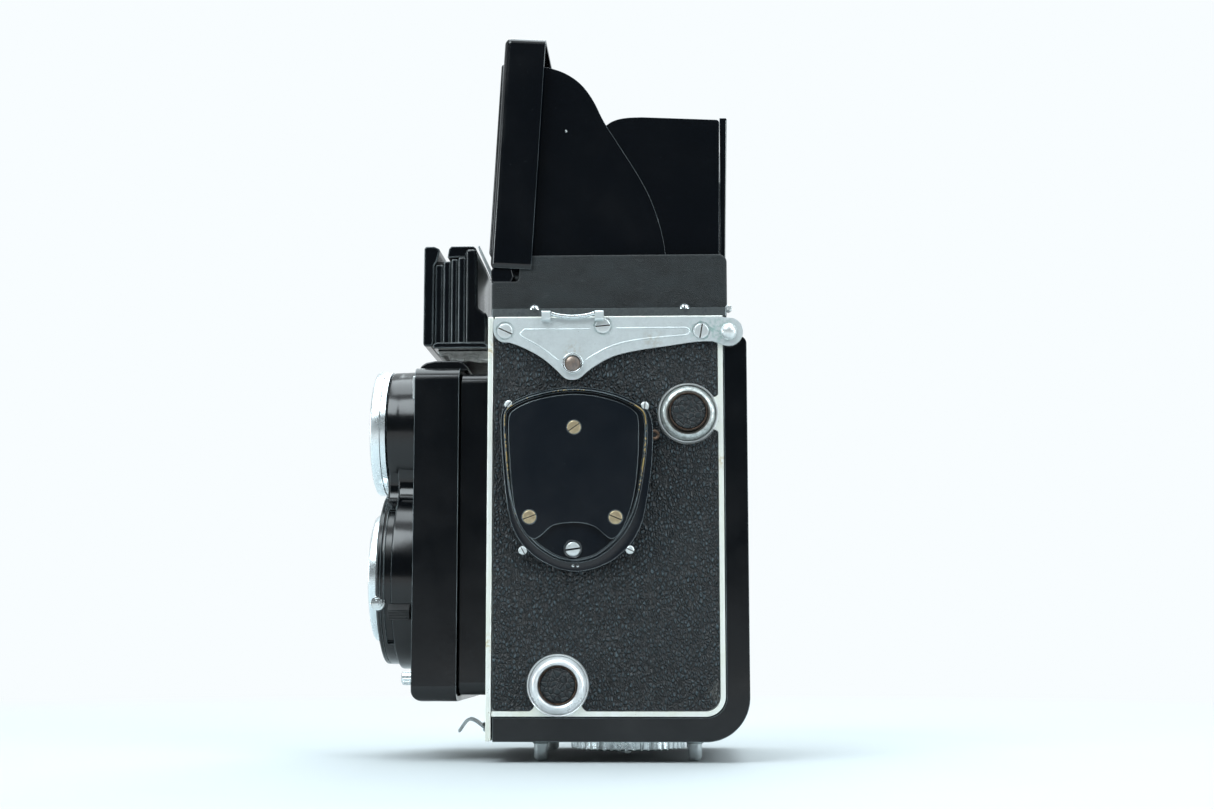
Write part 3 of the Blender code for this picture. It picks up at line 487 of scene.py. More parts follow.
def painted_trim():
    """The pale, slightly yellowed lacquer along the casting's edges."""
    look = Look("pale_trim", (0.74, 0.80, 0.77), 0.36, 0.4)
    age = look.noise(5, 4.0, (1, 1, 0.4))
    chips = look.ramp(look.noise(0.9, 3.0, None, 0.75), 0.67, 0.73)
    colour = look.mix(look.ramp(age, 0.35, 0.75), (0.96, 0.98, 0.94), (0.82, 0.84, 0.73))
    ochre = (0.60, 0.47, 0.20)
    spots = [((-36.3, -39, 116.0), 4.0), ((-36.3, -39, 33.0), 3.4), ((29.5, -39, 84.0), 3.0)]
    colour = look.stained(colour, [(*spot, 0.7, ochre) for spot in spots], 1.1, 0.62)
    colour = look.mix(look.times(chips, 0.7), colour, (0.22, 0.18, 0.10))
    return look.done(colour, look.ramp(age, 0.3, 0.7, 0.28, 0.45), look.noise(0.8, 3.0), 0.02)


def chrome():
    look = Look("chrome_plate", (0.70, 0.75, 0.76), 0.2, 1.0)
    haze = look.noise(3, 5.0, None, 0.7)
    freckle = look.ramp(look.noise(0.6, 2.0), 0.70, 0.74, 0, 0.5)
    colour = look.mix(freckle, (0.70, 0.75, 0.76), (0.25, 0.25, 0.24))
    return look.done(colour, look.ramp(haze, 0.3, 0.75, 0.15, 0.36), look.noise(0.35, 2.0), 0.004)


def tinted_metal(name, base, dark, roughness, size=1.2):
    """A metal tarnished from one colour to a darker one."""
    look = Look(name, base, roughness, 1.0)
    tarnish = look.noise(size, 5.0, None, 0.7)
    colour = look.mix(look.ramp(tarnish, 0.35, 0.7), base, dark)
    return look.done(colour, look.ramp(tarnish, 0.3, 0.7, roughness - 0.06, roughness + 0.14), tarnish, 0.015)


def matt(name="matt_paint", base=(0.008, 0.009, 0.010), roughness=0.6):
    look = Look(name, base, roughness)
    rough = look.ramp(look.noise(6, 4.0), 0.3, 0.7, roughness - 0.12, roughness + 0.1)
    colour = look.mix(look.times(look.edges(0.25), 0.4), base, (0.06, 0.06, 0.06))
    return look.done(colour, rough, look.noise(0.3, 2.0), 0.01)


def polished(name, colour, roughness, haze, hazy, metallic=0.0, **more):
    """Glass or a mirror: haze is the noise's size and detail, hazy the span of it and the roughness it gives."""
    look = Look(name, colour, roughness, metallic)
    return look.done(None, look.ramp(look.noise(*haze), *hazy), more=more)


def ground_screen():
    """The focusing screen: fine ground glass with a ruled grid."""
    look = Look("ground_screen", (0.42, 0.46, 0.47), 0.42)
    lines = []
    for axis in "XY":
        wave = look.math("FRACT", look.times(look.along(axis), 1 / (9.5 * MM)))
        lines.append(look.ramp(look.math("ABSOLUTE", look.math("SUBTRACT", wave, 0.5)), 0.488, 0.494))
    colour = look.mix(look.math("MAXIMUM", *lines), (0.42, 0.46, 0.47), (0.05, 0.05, 0.05))
    return look.done(colour, None, look.noise(0.12, 1.0), 0.01)


VERDIGRIS, RUST = (0.10, 0.36, 0.30), (0.30, 0.22, 0.10)
STAINS = (
    ((23.8, -40, 121.6), 4.2, 0.9, VERDIGRIS), ((29.4, -40, 121.4), 5.0, 0.7, VERDIGRIS),
    ((-4.2, -40, 122.9), 3.6, 0.6, VERDIGRIS), ((-32.4, -40, 121.6), 3.4, 0.6, VERDIGRIS),
    ((-12.8, -40, 115.6), 3.6, 0.5, RUST), ((10.0, -40, 118.4), 4.0, 0.4, RUST),
)
GOLD = (((8.0, -42, 98.0), 9.0, 0.46), ((-32.0, -42, 97.5), 8.0, 0.34), ((7.9, -42, 84.0), 16.0, 0.36),
        ((-31.4, -42, 86.0), 15.0, 0.34), ((-14.0, -42, 104.4), 14.0, 0.26), ((-27.0, -42, 66.0), 8.0, 0.26))
LEATHER = pebbled_leather()
WORN = smooth_leather()
ENAMEL = enamel()
BRASSED = enamel("brassed_enamel", 0.17, SOOT, GOLD, BRIGHT_EDGE_HIGHLIGHT)
FACE = enamel("face_enamel", 0.19, SOOT, (), BRIGHT_EDGE_HIGHLIGHT)
SILKY = enamel("silky_enamel", 0.16, (0.002, 0.003, 0.0042), (), BRIGHT_EDGE_HIGHLIGHT)
CELL_BLACK = enamel("cell_enamel", highlight_colour=BRIGHT_EDGE_HIGHLIGHT, reach=0.6)
SATIN = satin("satin_plate", stains=STAINS)
CAST = satin("cast_metal", (0.42, 0.44, 0.44), 0.45, (), 0.9)
TRIM = painted_trim()
CHROME = chrome()
BRASS = tinted_metal("brass_screw", (0.66, 0.55, 0.36), (0.42, 0.34, 0.22), 0.34)
COPPER = tinted_metal("copper_stud", (0.42, 0.33, 0.27), (0.17, 0.16, 0.16), 0.36, 2.6)
GREY = tinted_metal("aged_metal", (0.20, 0.225, 0.23), (0.09, 0.10, 0.105), 0.36, 3.0)
STEEL = tinted_metal("worn_steel", (0.60, 0.64, 0.63), (0.26, 0.28, 0.27), 0.36, 1.4)
RING = satin("turned_ring", (0.80, 0.86, 0.88), 0.26, (), 0.85, 0.15)
HEAD = satin("screw_steel", (0.72, 0.76, 0.76), 0.3, (), 0.5, 0.5)
SHEET = tinted_metal("crumpled_sheet", (0.55, 0.57, 0.56), (0.33, 0.34, 0.33), 0.45, 2.0)
SILVER_RIM = satin("silver_rim", (0.92, 0.94, 0.95), 0.3)
PEARL = satin("pearly_metal", (0.80, 0.84, 0.84), 0.32, (), 0.7)
DIRT = matt("screw_dirt", (0.035, 0.024, 0.016), 0.7)
RUSTY = tinted_metal("worn_rim", (0.13, 0.085, 0.06), (0.035, 0.03, 0.03), 0.42, 1.0)
PAD = pad_leather()
MATT = matt()
GRIP = matt("black_grip", (0.016, 0.016, 0.017), 0.4)
GLASS = polished("coated_glass", (0.9, 0.93, 1.0), 0.02, (4, 4.0), (0.45, 0.8, 0.0, 0.06),
                 **{GLASSY: 1.0, "IOR": 1.55, "Coat Weight": 0.6, "Coat Tint": (0.55, 0.5, 0.95)})
CLEAR = polished("clear_glass", (0.96, 0.98, 0.98), 0.03, (5, 4.0), (0.4, 0.8, 0.01, 0.1),
                 **{GLASSY: 1.0, "IOR": 1.49})
SCREEN = ground_screen()
MIRROR = polished("silvered_glass", (0.88, 0.9, 0.92), 0.03, (8, 5.0), (0.45, 0.8, 0.01, 0.12), 1.0)


# ---------------------------------------------------------------- small fittings
def screw(name, centre, outward, radius, body, look=CHROME, turn=0.0, dome=0.1, slot=0.2):
    """A slotted screw head standing on centre, with dirt at the bottom of its slot."""
    rim = 0.22 + 0.08 * radius
    rise = 0.5 * dome * radius
    flat = radius - 0.14
    profile = [(0, -0.7), (radius, -0.7), (radius, rim - 0.12), (flat, rim)]
    profile += [(flat * math.cos(a), rim + rise * math.sin(a)) for a in (0.4, 0.8, 1.2)]
    profile += [(0, rim + rise)]
    floor = rim - 0.42
    cutter = block((-radius * 1.3, -slot, floor), (radius * 1.3, slot, rim + rise + 1))
    filling = block((-radius * 0.96, -slot * 0.98, floor - 0.2), (radius * 0.96, slot * 0.98, floor + 0.12))
    head = carved(turned(profile, steps=48), [cutter])
    way = Vector(outward).to_track_quat("Z", "Y").to_matrix().to_4x4()
    for part in (head, filling):
        part.transform(Matrix.Rotation(math.radians(turn), 4, "Z"))
        part.transform(Matrix.Translation(Vector(centre)) @ way)
    piece(name + "_dirt", filling, DIRT, body)
    piece(name, head, look, body, bevel=0.04, segments=2)


# ---------------------------------------------------------------- body
def front_plate():
    shape = carved(
        block((-37.1, -TRIM_FACE, 6.0), (BODY_FRONT - 0.2, TRIM_FACE, BODY_TOP)),
        [block((-38, -27, 24), (-35, 27, 110), 4, "X")],
    )
    piece("front_plate_edge", shape, TRIM, "body", ("front_plate",), 0.3)


def web(spot, half, foot, flare, across):
    """The flat that ties a knob's flange to the edge trim, flared by a fillet on each side."""
    x, z = spot
    if across:
        left = arc((x - half - flare, foot + flare), flare, 0, -90, 8)
        right = arc((x + half + flare, foot + flare), flare, -90, -180, 8)
        outline = [(x - half, z), *left, *right, (x + half, z)]
    else:
        low = arc((foot - flare, z - half - flare), flare, 90, 0, 8)
        high = arc((foot - flare, z + half + flare), flare, 0, -90, 8)
        outline = [(x, z - half), *low, *high, (x, z + half)]
    return outline


def side_trim(name, sign):
    """The bright edge along the back and the bottom, and a strip of it along the top of the casting."""
    inner, faces = 1.4, (-TRIM_FACE, -TRIM_INNER)
    corner = (BODY_REAR - 5.6, BODY_BOTTOM + 5.6)
    outline = [
        (BODY_FRONT, BODY_BOTTOM + inner), (BODY_FRONT, BODY_BOTTOM),
        *arc(corner, 5.6, -90, 0, 16), (BODY_REAR, 119.0), (BODY_REAR - inner, 119.0),
        *arc(corner, 5.6 - inner, 0, -90, 16),
    ]
    shape = prism(outline, *faces)
    if sign < 0:
        joins = [
            prism(web(SUPPLY, 6.4, BODY_BOTTOM + 1.2, 2.6, True), *faces),
            prism(web(TAKE_UP, 4.6, BODY_REAR - 1.2, 1.6, False), *faces),
        ]
        shape = carved(shape, discs((SUPPLY, TAKE_UP), 5.6, -45, -37, "Y"), joins)
        knob_flange("upper", TAKE_UP, STEEL, 8.5)
        knob_flange("lower", SUPPLY, SILVER_RIM, 8.66)
    piece(name + "_edge", side(shape, sign), TRIM, "body", (name,), 0.18)
    strip = block((BODY_FRONT + 0.2, -TRIM_FACE + 0.1, 124.6), (BODY_REAR, -37.6, BODY_TOP), 0.25, "X")
    piece(name + "_top_strip", side(strip, sign), TRIM, "body", bevel=0.12)


def knob_flange(label, spot, look, outer):
    """The domed ring that a spool knob turns in, standing in a thin bright one."""
    centre, foot = (spot[0], 0, spot[1]), -TRIM_INNER
    dome = [(5.5, foot), (5.5, -40.6), (5.7, -40.95), (6.2, -41.15), (6.8, -41.0), (7.3, -40.5), (7.7, -39.8)]
    dome += [(outer - 0.6, -39.5), (outer - 0.6, foot)]
    piece(f"knob_flange_{label}", turned(dome, "Y", centre), look, "body")
    rim = [(outer - 0.45, foot), (outer - 0.45, -39.9), (outer - 0.15, -40.1), (outer, -39.8), (outer, foot)]
    piece(f"knob_seat_{label}", turned(rim, "Y", centre), SILVER_RIM, "body")


def side_leather(name, sign):
    left, bottom, right, top = BODY_FRONT + 0.2, BODY_BOTTOM + 1.6, BODY_REAR - 1.6, 125.0
    big, small = 4.4, 1.2
    corners = [
        *arc((right - big, bottom + big), big, -90, 0, 12), *arc((right - small, top - small), small, 0, 90, 6),
        *arc((left + small, top - small), small, 90, 180, 6), *arc((left + small, bottom + small), small, 180, 270, 6),
    ]
    shape = prism(corners, -TRIM_FACE + 0.1, -TRIM_INNER)
    if sign < 0:
        cuts = discs((SUPPLY, TAKE_UP), 8.8, -40, -37, "Y")
        cuts.append(prism(web(SUPPLY, 6.6, BODY_BOTTOM + 1.4, 2.4, True), -40, -37))
        cuts.append(prism(web(TAKE_UP, 4.8, BODY_REAR - 1.4, 1.4, False), -40, -37))
        shape = carved(shape, cuts)
    piece(name + "_skin", side(shape, sign), LEATHER, "body", (name,), 0.35, segments=4)


PLATE_LOWER = [(-27.4, 117.0), (-21.6, 113.9), (-17.3, 110.1), (-15.0, 107.6), (-12.9, 107.2), (-10.8, 107.6),
               (-8.3, 110.1), (-2.1, 113.95), (5.2, 115.7), (15.7, 117.1), (22.6, 118.2)]
PLATE_SCREWS = (("front", -32.2, 121.5, 155), ("middle", -4.2, 122.8, 5), ("rear", 23.8, 121.2, 80))
PLATE_BEADS = {
    "front": [
        (-7.9, 121.9), (-26.6, 121.9),
        *softened([(-27.2, 121.2), (-28.1, 120.6), (-27.2, 119.7), (-22.0, 117.0), (-17.4, 113.2), (-16.7, 112.9)]),
    ],
    "rear": [
        *softened([(-9.0, 112.9), (-7.6, 114.0), (-1.6, 117.2), (5.6, 118.8), (15.6, 119.7), (19.6, 119.9),
                   (20.7, 120.7), (20.2, 121.9), (19.0, 122.1)]),
        (-0.4, 122.1),
    ],
}


def strap_plate(name, sign):
    """The satin plate with its lobe, raised bead, strap lugs, sunk screws and copper-coloured stud."""
    near = -PLATE_FACE
    outline = [
        *arc((-32.0, 121.7), 3.5, 180, 270, 10),
        *softened([(-31, 118.2), *PLATE_LOWER, (27, 118.2)]),
        *arc(BACK_HINGE, 4.1, -110, 72, 24),
        (28.5, PLATE_TOP), *arc((-34.5, PLATE_TOP - 1.0), 1.0, 90, 180, 6),
    ]
    low, high = near - 1.7, near + 0.6
    lugs = [block((x - 1.25, low, BAIL_HEIGHT - 2.2), (x + 1.25, high, BAIL_HEIGHT + 0.8), 0.7, "X", 4)
            for x in BAIL_LUGS]
    wells = discs([(x, z) for _, x, z, _ in PLATE_SCREWS], 2.7, near - 1, near + 0.42, "Y", 48)
    plate = carved(prism(outline, near, -TRIM_FACE - 0.1), wells, lugs)
    piece(name + "_plate", side(plate, sign), SATIN, "body", (name,), 0.2)
    for label, run in PLATE_BEADS.items():
        wire(f"{name}_bead_{label}", [(x, -sign * (near + 0.12), z) for x, z in run], 0.26, SATIN, "body")
    stud_ring = ring(2.35, 3.0, near - 0.9, near + 0.4, "Y", STUD, 64)
    piece(f"{name}_stud_ring", side(stud_ring, sign), CHROME, "body", bevel=0.2)
    dome = [(0, -0.75), (1.2, -0.7), (2.0, -0.45), (2.3, -0.1), (2.3, 0.3), (0, 0.3)]
    stud = turned([(r, near + h) for r, h in dome], "Y", STUD, 64)
    piece(f"{name}_stud", side(stud, sign), COPPER, "body")
    for label, x, z, turn in PLATE_SCREWS:
        screw(f"{name}_screw_{label}", (x, sign * (PLATE_FACE - 0.3), z), (0, sign, 0), 2.15, "body", HEAD, turn)
    pin = [(0, 0.0), (2.3, 0.0), (2.3, 0.7), (2.1, 1.2), (1.6, 1.7), (0.8, 2.0), (0, 2.1)]
    head = turned([(r, near - h) for r, h in pin], "Y", (BACK_HINGE[0], 0, BACK_HINGE[1]), 64)
    piece(f"{name}_hinge_pin", side(head, sign), PEARL, "body")


def strap_bail(name, body, sign):
    """The wire that the neck strap runs through, nearly straight between its two lugs."""
    middle, half, sag, steps = sum(BAIL_LUGS) / 2, 6.1, 1.0, 16
    y = sign * (TRIM_FACE + 2.2)
    points = []
    for i in range(steps + 1):
        drop = sag * math.sin(math.pi * i / steps) ** 0.7
        points.append((middle + half * (2 * i / steps - 1), y, BAIL_HEIGHT - drop))
    wire(name + "_wire", points, 0.6, CHROME, body, (name,))


METER_OUTER = [
    (-33.0, 98.7), (-29.2, 101.4), (-24.8, 103.2), (-18.5, 104.7), (-12.2, 105.3), (-5.9, 104.7), (0.4, 103.0),
    (5.4, 100.8), (8.9, 98.3), (10.1, 94.1), (10.0, 87.8), (9.6, 81.6), (8.7, 75.3), (7.2, 66.6), (4.0, 60.4),
    (-0.9, 55.9), (-6.5, 53.5), (-11.8, 52.6), (-17.1, 53.6), (-23.0, 56.6), (-27.7, 61.1), (-30.3, 66.7),
    (-31.8, 75.5), (-32.6, 84.9), (-33.2, 93.1),
]
METER_RIDGE = [
    (-32.0, 98.6), (-28.7, 100.7), (-24.8, 102.3), (-18.5, 103.9), (-12.2, 104.4), (-5.9, 103.8), (0.1, 102.2),
    (4.8, 100.0), (7.7, 97.9), (8.1, 94.1), (7.9, 89.1), (7.3, 83.5), (6.2, 76.6), (4.7, 70.3), (1.9, 64.7),
    (-2.2, 60.1), (-6.5, 57.0), (-11.8, 55.8), (-17.1, 56.8), (-22.4, 60.1), (-26.5, 64.8), (-29.1, 69.8),
    (-30.6, 76.7), (-31.4, 85.5), (-32.0, 93.7),
]
METER_FACE = [
    (-30.8, 97.4), (-27.9, 99.5), (-23.5, 101.3), (-17.9, 102.5), (-12.2, 103.0), (-6.5, 102.5), (-0.9, 101.1),
    (2.9, 99.5), (5.7, 97.3), (6.1, 94.2), (5.9, 84.7), (5.1, 76.6), (3.9, 71.0), (2.0, 65.7), (0.1, 62.7),
    (-1.8, 61.8), (-3.4, 62.8), (-6.2, 65.4), (-9.0, 66.3), (-12.5, 66.6), (-15.9, 66.3), (-18.6, 65.7),
    (-21.4, 62.9), (-23.4, 61.8), (-25.4, 62.8), (-27.9, 66.7), (-29.3, 71.7), (-30.3, 81.7), (-30.9, 91.2),
]
METER_CENTRE = Vector((-12.2, 80.0))
# The wall's rows: the share of the way from the outer line to the ridge, an inset and a depth.
METER_WALL = (
    (0.0, 0.0, 0.0), (0.0, 0.0, -1.55), (0.012, 0.0, -1.78), (0.05, 0.0, -1.95), (0.1, 0.0, -2.0),
    (0.14, 0.0, -2.0), (0.76, 0.0, -2.0), (0.80, 0.0, -2.04), (0.87, 0.0, -2.4), (0.93, 0.0, -2.85),
    (0.965, 0.0, -2.99), (1.0, 0.0, -3.03), (1.0, 0.14, -3.0), (1.0, 0.28, -2.8), (1.0, 0.38, -2.4),
    (1.0, 0.45, -1.8),
)
METER_SCREWS = (("top", -12.3, 93.5, 35), ("front", -24.8, 68.2, 20), ("rear", -0.6, 68.0, -22))


def by_angle(points, count=144):
    """How far an outline lies from the meter's centre, at equal steps of angle."""
    points = [Vector(point) - METER_CENTRE for point in softened(points, 2, 0.2, closed=True)]
    reach = []
    for way in around((0, 0), 1.0, count):
        way = Vector(way)
        for first, second in zip(points, [*points[1:], points[0]]):
            a, b = way.cross(first), way.cross(second)
            if (a <= 0 < b or b <= 0 < a) and way.dot(first) > 0:
                reach.append(way.dot(first.lerp(second, a / (a - b))))
                break
        else:
            reach.append(reach[-1])
    return reach


def meter():
    """The meter's shield: a domed wall with a worn ridge, the sunk ring and the face plate inside it."""
    base = -TRIM_FACE - 0.1
    level = base - 3.1
    outer, ridge = by_angle(METER_OUTER), by_angle(METER_RIDGE)
    ways = around((0, 0), 1.0, len(outer))
    rows = []
    for share, inset, depth in METER_WALL:
        reaches = [far + (near - far) * share - inset for far, near in zip(outer, ridge)]
        loop = [METER_CENTRE + reach * Vector(way) for reach, way in zip(reaches, ways)]
        rows.append((loop, base + depth))
    piece("meter_dome", loft(rows, "Y"), BRASSED, "body", ("meter_case",))
    plate = prism(softened(METER_FACE, 2, 0.2, closed=True), level, base - 1.0)
    wells = discs([(x, z) for _, x, z, _ in METER_SCREWS], 1.98, level - 1, level + 0.3, "Y", 48)
    piece("meter_face_plate", carved(plate, wells), FACE, "body", ("meter_face",), 0.25)
    for label, x, z, turn in METER_SCREWS:
        screw(f"meter_screw_{label}", (x, level + 0.36, z), (0, -1, 0), 1.88, "body", BRASS, turn, 0.06, 0.17)
    rim = [(2.2, -1.35), (2.2, -2.05), (2.5, -2.25), (2.8, -1.75), (2.8, -1.35)]
    washer = turned([(r, base + h) for r, h in rim], "Y", (-12.6, 0, 59.2), 64)
    piece("meter_zero_washer", washer, ENAMEL, "body", bevel=0.05)
    screw("meter_zero_screw", (-12.6, base - 1.5, 59.2), (0, -1, 0), 2.1, "body", HEAD, 8, 0.2, 0.26)
    for i, (x, z) in enumerate(((-30.9, 100.2), (7.7, 99.6), (-26.7, 58.9), (3.4, 59.0))):
        screw(f"meter_rim_screw_{i}", (x, base - 1.6, z), (0, -1, 0), 1.2, "body", HEAD, 50 + 35 * i, 0.3, 0.13)
    for i, x in enumerate((-12.5, -11.2)):
        dot = turned([(0, -0.35), (0.35, -0.25), (0.5, 0.0), (0.5, 0.8), (0, 0.8)], "Y", (x, base - 1.9, 54.5), 24)
        piece(f"meter_rivet_{i}", dot, CHROME, "body")
    jack = (10.4, base, 91.4)
    socket = turned([(0.7, -1.7), (1.1, -1.9), (1.5, -1.6), (1.5, 0.5), (0.7, 0.5)], "Y", jack, 40)
    piece("meter_side_socket", socket, RUSTY, "body", bevel=0.1)
    piece("meter_side_jack", disc(0.75, -1.2, 0.4, "Y", jack, 32), MATT, "body", bevel=0.1)


def knob(name, spot, body, reach):
    """A spool knob: a turned body with a thin worn rim, and a leather disc let into its face."""
    centre = (spot[0], 0, spot[1])
    face = [(0, 0.6), (5.0, 0.6), (5.05, 0.1), (5.2, 0.0), (5.35, 0.25)]
    profile = [(r, h - reach) for r, h in face]
    profile += [(5.4, -38.4), (2.6, -38.4), (2.6, -29.4), (1.9, -28.6), (0, -28.6)]
    piece(name + "_turned", turned(profile, "Y", centre), RUSTY, body, (name,), 0.05)
    pad = [(0, 0.0), (4.2, 0.05), (4.75, 0.2), (4.95, 0.6), (0, 0.6)]
    piece(name + "_leather", turned([(r, h - reach) for r, h in pad], "Y", centre), PAD, body)


def spool(name, spot, body):
    half = 30.8
    profile = [(0, -24), (2.9, -24), (2.9, -half), (11.9, -half), (12.4, 0.3 - half), (12.4, 0.9 - half),
               (5.8, 1.2 - half)]
    profile += [(r, -h) for r, h in reversed(profile)]
    piece(name + "_turned", turned(profile, "Y", (spot[0], 0, spot[1]), 72), GRIP, body, (name,))


def internals():
    for name, look in (("body_casting", CAST), ("reflex_mirror", MIRROR), ("focusing_screen", SCREEN),
                       ("film_drive_key", CHROME), ("film_roller_lower", CHROME), ("pressure_plate", MATT)):
        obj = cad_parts[name]
        obj.data.materials.clear()
        obj.data.materials.append(look)


# ---------------------------------------------------------------- camera back
def back_cover():
    gap, radius, wall, knuckle = 0.3, 12.3, 1.5, 2.2
    x0, x1, z0, z1 = BODY_FRONT + gap, 36.7, 5.8, BODY_BOTTOM - gap
    centre, fillet = (x1 - radius, z0 + radius), (BODY_REAR + gap - 5.6, z1 + 5.6)
    outer = [
        (x0, z0), *arc(centre, radius, -90, 0, 32), *arc((x1 - knuckle, 117.7), knuckle, 0, 75, 12),
        (BACK_HINGE[0] + 1.0, 120.0), (BODY_REAR + gap, 119.2), *arc(fillet, 5.6, 0, -90, 14), (x0, z1),
    ]
    hollow = [
        (x0 + 3, z0 + wall), *arc(centre, radius - wall, -90, 0, 16), (x1 - wall, 114.0),
        (BODY_REAR - 2, 114.0), (BODY_REAR - 2, BODY_BOTTOM + 3), (x0 + 3, BODY_BOTTOM + 3),
    ]
    recess = block((36.2, -35.6, 21.9), (37.5, 35.6, 112.1), 2.0, "X")
    knuckles = []
    for low, high in ((-38.4, -33.0), (33.0, 38.4)):
        knuckles.append(disc(1.4, low, high, "Y", (BACK_HINGE[0], 0, BACK_HINGE[1]), 32))
        knuckles.append(block((31.6, low, 112.5), (33.0, high, 120.9)))
    shape = carved(prism(outer, -38.6, 38.6), [prism(hollow, -36.4, 36.4), recess], knuckles)
    piece("back_shell", shape, SILKY, "back", ("back_cover",), 0.9, segments=5)
    panel = block((36.2, -35.5, 22.0), (36.68, 35.5, 112.0), 2.0, "X")
    piece("back_leather_skin", panel, LEATHER, "back", ("back_leather",), 0.15)


def under_side():
    centre = (DIAL_X, 0, 0)
    profile = [(7.3, 1.9), (15.6, 1.9), (16.6, 2.1), (17.0, 2.5), (17.0, 5.2), (16.8, 5.5), (7.3, 5.5)]
    flutes = discs(around((DIAL_X, 0), 17.1, 48), 0.55, 1, 6, "Z", 12)
    dial = carved(turned(profile, "Z", centre), flutes)
    piece("lock_dial_fluted", dial, CHROME, "dial", ("back_lock_dial",), 0.1)
    for turn in (90, 270):
        lug = block((8.2, -1.1, 1.2), (14.2, 1.1, 2.2), 0.5, "Z")
        lug.transform(Matrix.Translation(centre) @ Matrix.Rotation(math.radians(turn), 4, "Z"))
        piece(f"lock_dial_rib_{turn}", lug, CHROME, "dial", bevel=0.15)
    thread = [(6.9, 5.5), (6.9, 2.0), (6.4, 1.6), (3.3, 1.6)]
    for i in range(4):
        thread += [(3.1, 2.0 + 0.9 * i), (3.5, 2.45 + 0.9 * i)]
    piece("tripod_bush", turned([*thread, (3.2, 5.5)], "Z", centre), CHROME, "back", ("tripod_socket",))
    foot = [(0, 0.0), (1.0, 0.05), (1.6, 0.35), (1.95, 1.0), (1.95, 4.7), (2.6, 5.2), (2.6, 5.6), (0, 5.6)]
    for node in ("foot_near_front", "foot_near_rear", "foot_far_front", "foot_far_rear"):
        low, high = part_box(node)
        x, y = [((low[i] + high[i]) / 2 - ORIGIN[i]) / MM for i in (0, 1)]
        piece(node + "_turned", turned(foot, "Z", (x, y, 0), 48), SATIN, "back", (node,))


# ---------------------------------------------------------------- lens panel, lenses and shutter
def figure_eight(lower=0.0, upper=0.0, fillet=7.0):
    """The outline round both lenses, its waist filled by a fillet; each circle grown by some millimetres."""
    big, small, apart = 25.8 + lower, 18.7 + upper, VIEWING_Z - TAKING_Z
    a, b = big + fillet, small + fillet
    rise = (a * a - b * b + apart * apart) / (2 * apart)
    out = math.sqrt(a * a - rise * rise)
    low = math.degrees(math.atan2(rise, out))
    high = math.degrees(math.atan2(rise - apart, out))
    valley = (out, TAKING_Z + rise)
    right = [
        *arc((0, TAKING_Z), big, -90, low, 40), *arc(valley, fillet, low + 180, high + 180, 24)[1:-1],
        *arc((0, VIEWING_Z), small, high, 90, 28),
    ]
    return [*right, *[(-y, z) for y, z in reversed(right[1:-1])]]


def lens_panel():
    front, bottom, top, soft = STANDARD_FRONT, 16.7, 112.3, 3.0
    taking, viewing = (0, 0, TAKING_Z), (0, 0, VIEWING_Z)
    heel = [(front - 1, bottom - 1), (front + soft, bottom - 1)]
    heel += [*arc((front + soft, bottom + soft), soft, 270, 180, 12), (front - 1, bottom + soft)]
    panel = carved(
        block((front, -34.4, bottom), (STANDARD_REAR, 34.4, top), 4.4, "X", 12),
        [
            block((front + 2.2, -33.0, 18.1), (-44, 33.0, 111.0), 3.2, "X", 8),
            disc(16.2, -60, -54, "X", taking), disc(15.2, -60, -54, "X", viewing),
            *discs([SHUTTER_BUTTON], 2.3, -60, -54, "X", 32), prism(heel, -36, 36),
        ],
    )
    piece("lens_panel", panel, SILKY, "standard", ("front_standard",), 0.8, segments=5)
    crest = [(-58.2, 111.8), (-43.8, 111.8), (-43.8, 112.8), (-45.2, 114.0), (-46.6, 114.7), (-53.6, 114.7),
             (-56.2, 114.2), (-57.6, 113.3)]
    piece("lens_panel_crest", prism(crest, -29, 29), SILKY, "standard", bevel=0.5, segments=4)
    # How much the shutter housing's two circles grow, and where.
    growth = ((1.4, 0.6, -58.9), (1.4, 0.3, -60.4), (1.4, 0.0, -65.4), (1.2, 0.0, -65.9), (0.9, 0.0, -66.1),
              (0.0, 0.0, -66.3), (0.0, -0.1, -68.8), (-0.3, -0.5, -69.4), (-0.9, -1.1, -69.6))
    shell = loft([(figure_eight(lower, upper), depth) for lower, upper, depth in growth], "X")
    groove = [*arc((0, TAKING_Z), 25.0, 130, 230, 32), *arc((0, TAKING_Z), 29.0, 230, 130, 32)]
    cuts = [disc(16.4, -72, -58, "X", taking), disc(15.5, -72, -58, "X", viewing), prism(groove, -68.3, -66.2, "X")]
    piece("shutter_shell", carved(shell, cuts), SILKY, "standard", ("shutter_housing", "viewing_collar"), 0.12)
    rim = [(24.6, -69.3), (24.6, -70.3), (24.9, -70.5), (25.5, -70.5), (25.75, -70.2), (25.75, -69.3)]
    gap = block((-71, -27, TAKING_Z - 10.3), (-69.4, -20, TAKING_Z - 5.8))
    rim = carved(turned(rim, "X", taking, 128), [gap, disc(18.9, -71, -69, "X", viewing)])
    piece("shutter_rim", rim, SILKY, "standard", bevel=0.08)
    piece("viewing_seat", ring(18.9, 19.5, -59.2, -58.7, "X", viewing), CHROME, "standard", bevel=0.1)
    for i, (y, z) in enumerate(((-30.5, 21.8), (30.5, 21.8), (-30.5, 108.2), (30.5, 108.2))):
        screw(f"panel_screw_{i}", (front + 0.1, y, z), (-1, 0, 0), 1.4, "standard", CHROME, 30 * i, 0.5, 0.2)
    catch = block((front - 0.6, -33.7, 103.0), (front + 0.3, -32.4, 109.6), 0.3, "X", 3)
    piece("panel_catch", catch, PEARL, "standard", bevel=0.15)


def shroud():
    shape = carved(
        block((-45.6, -32.6, 18.5), (-37.4, 32.6, 110.6), 3.6, "X", 10),
        [block((-47, -30.8, 20.3), (-36, 30.8, 108.8), 2.2, "X", 6)],
    )
    piece("shroud_box", shape, SILKY, "body", ("bellows_shroud",), 0.5, segments=4)


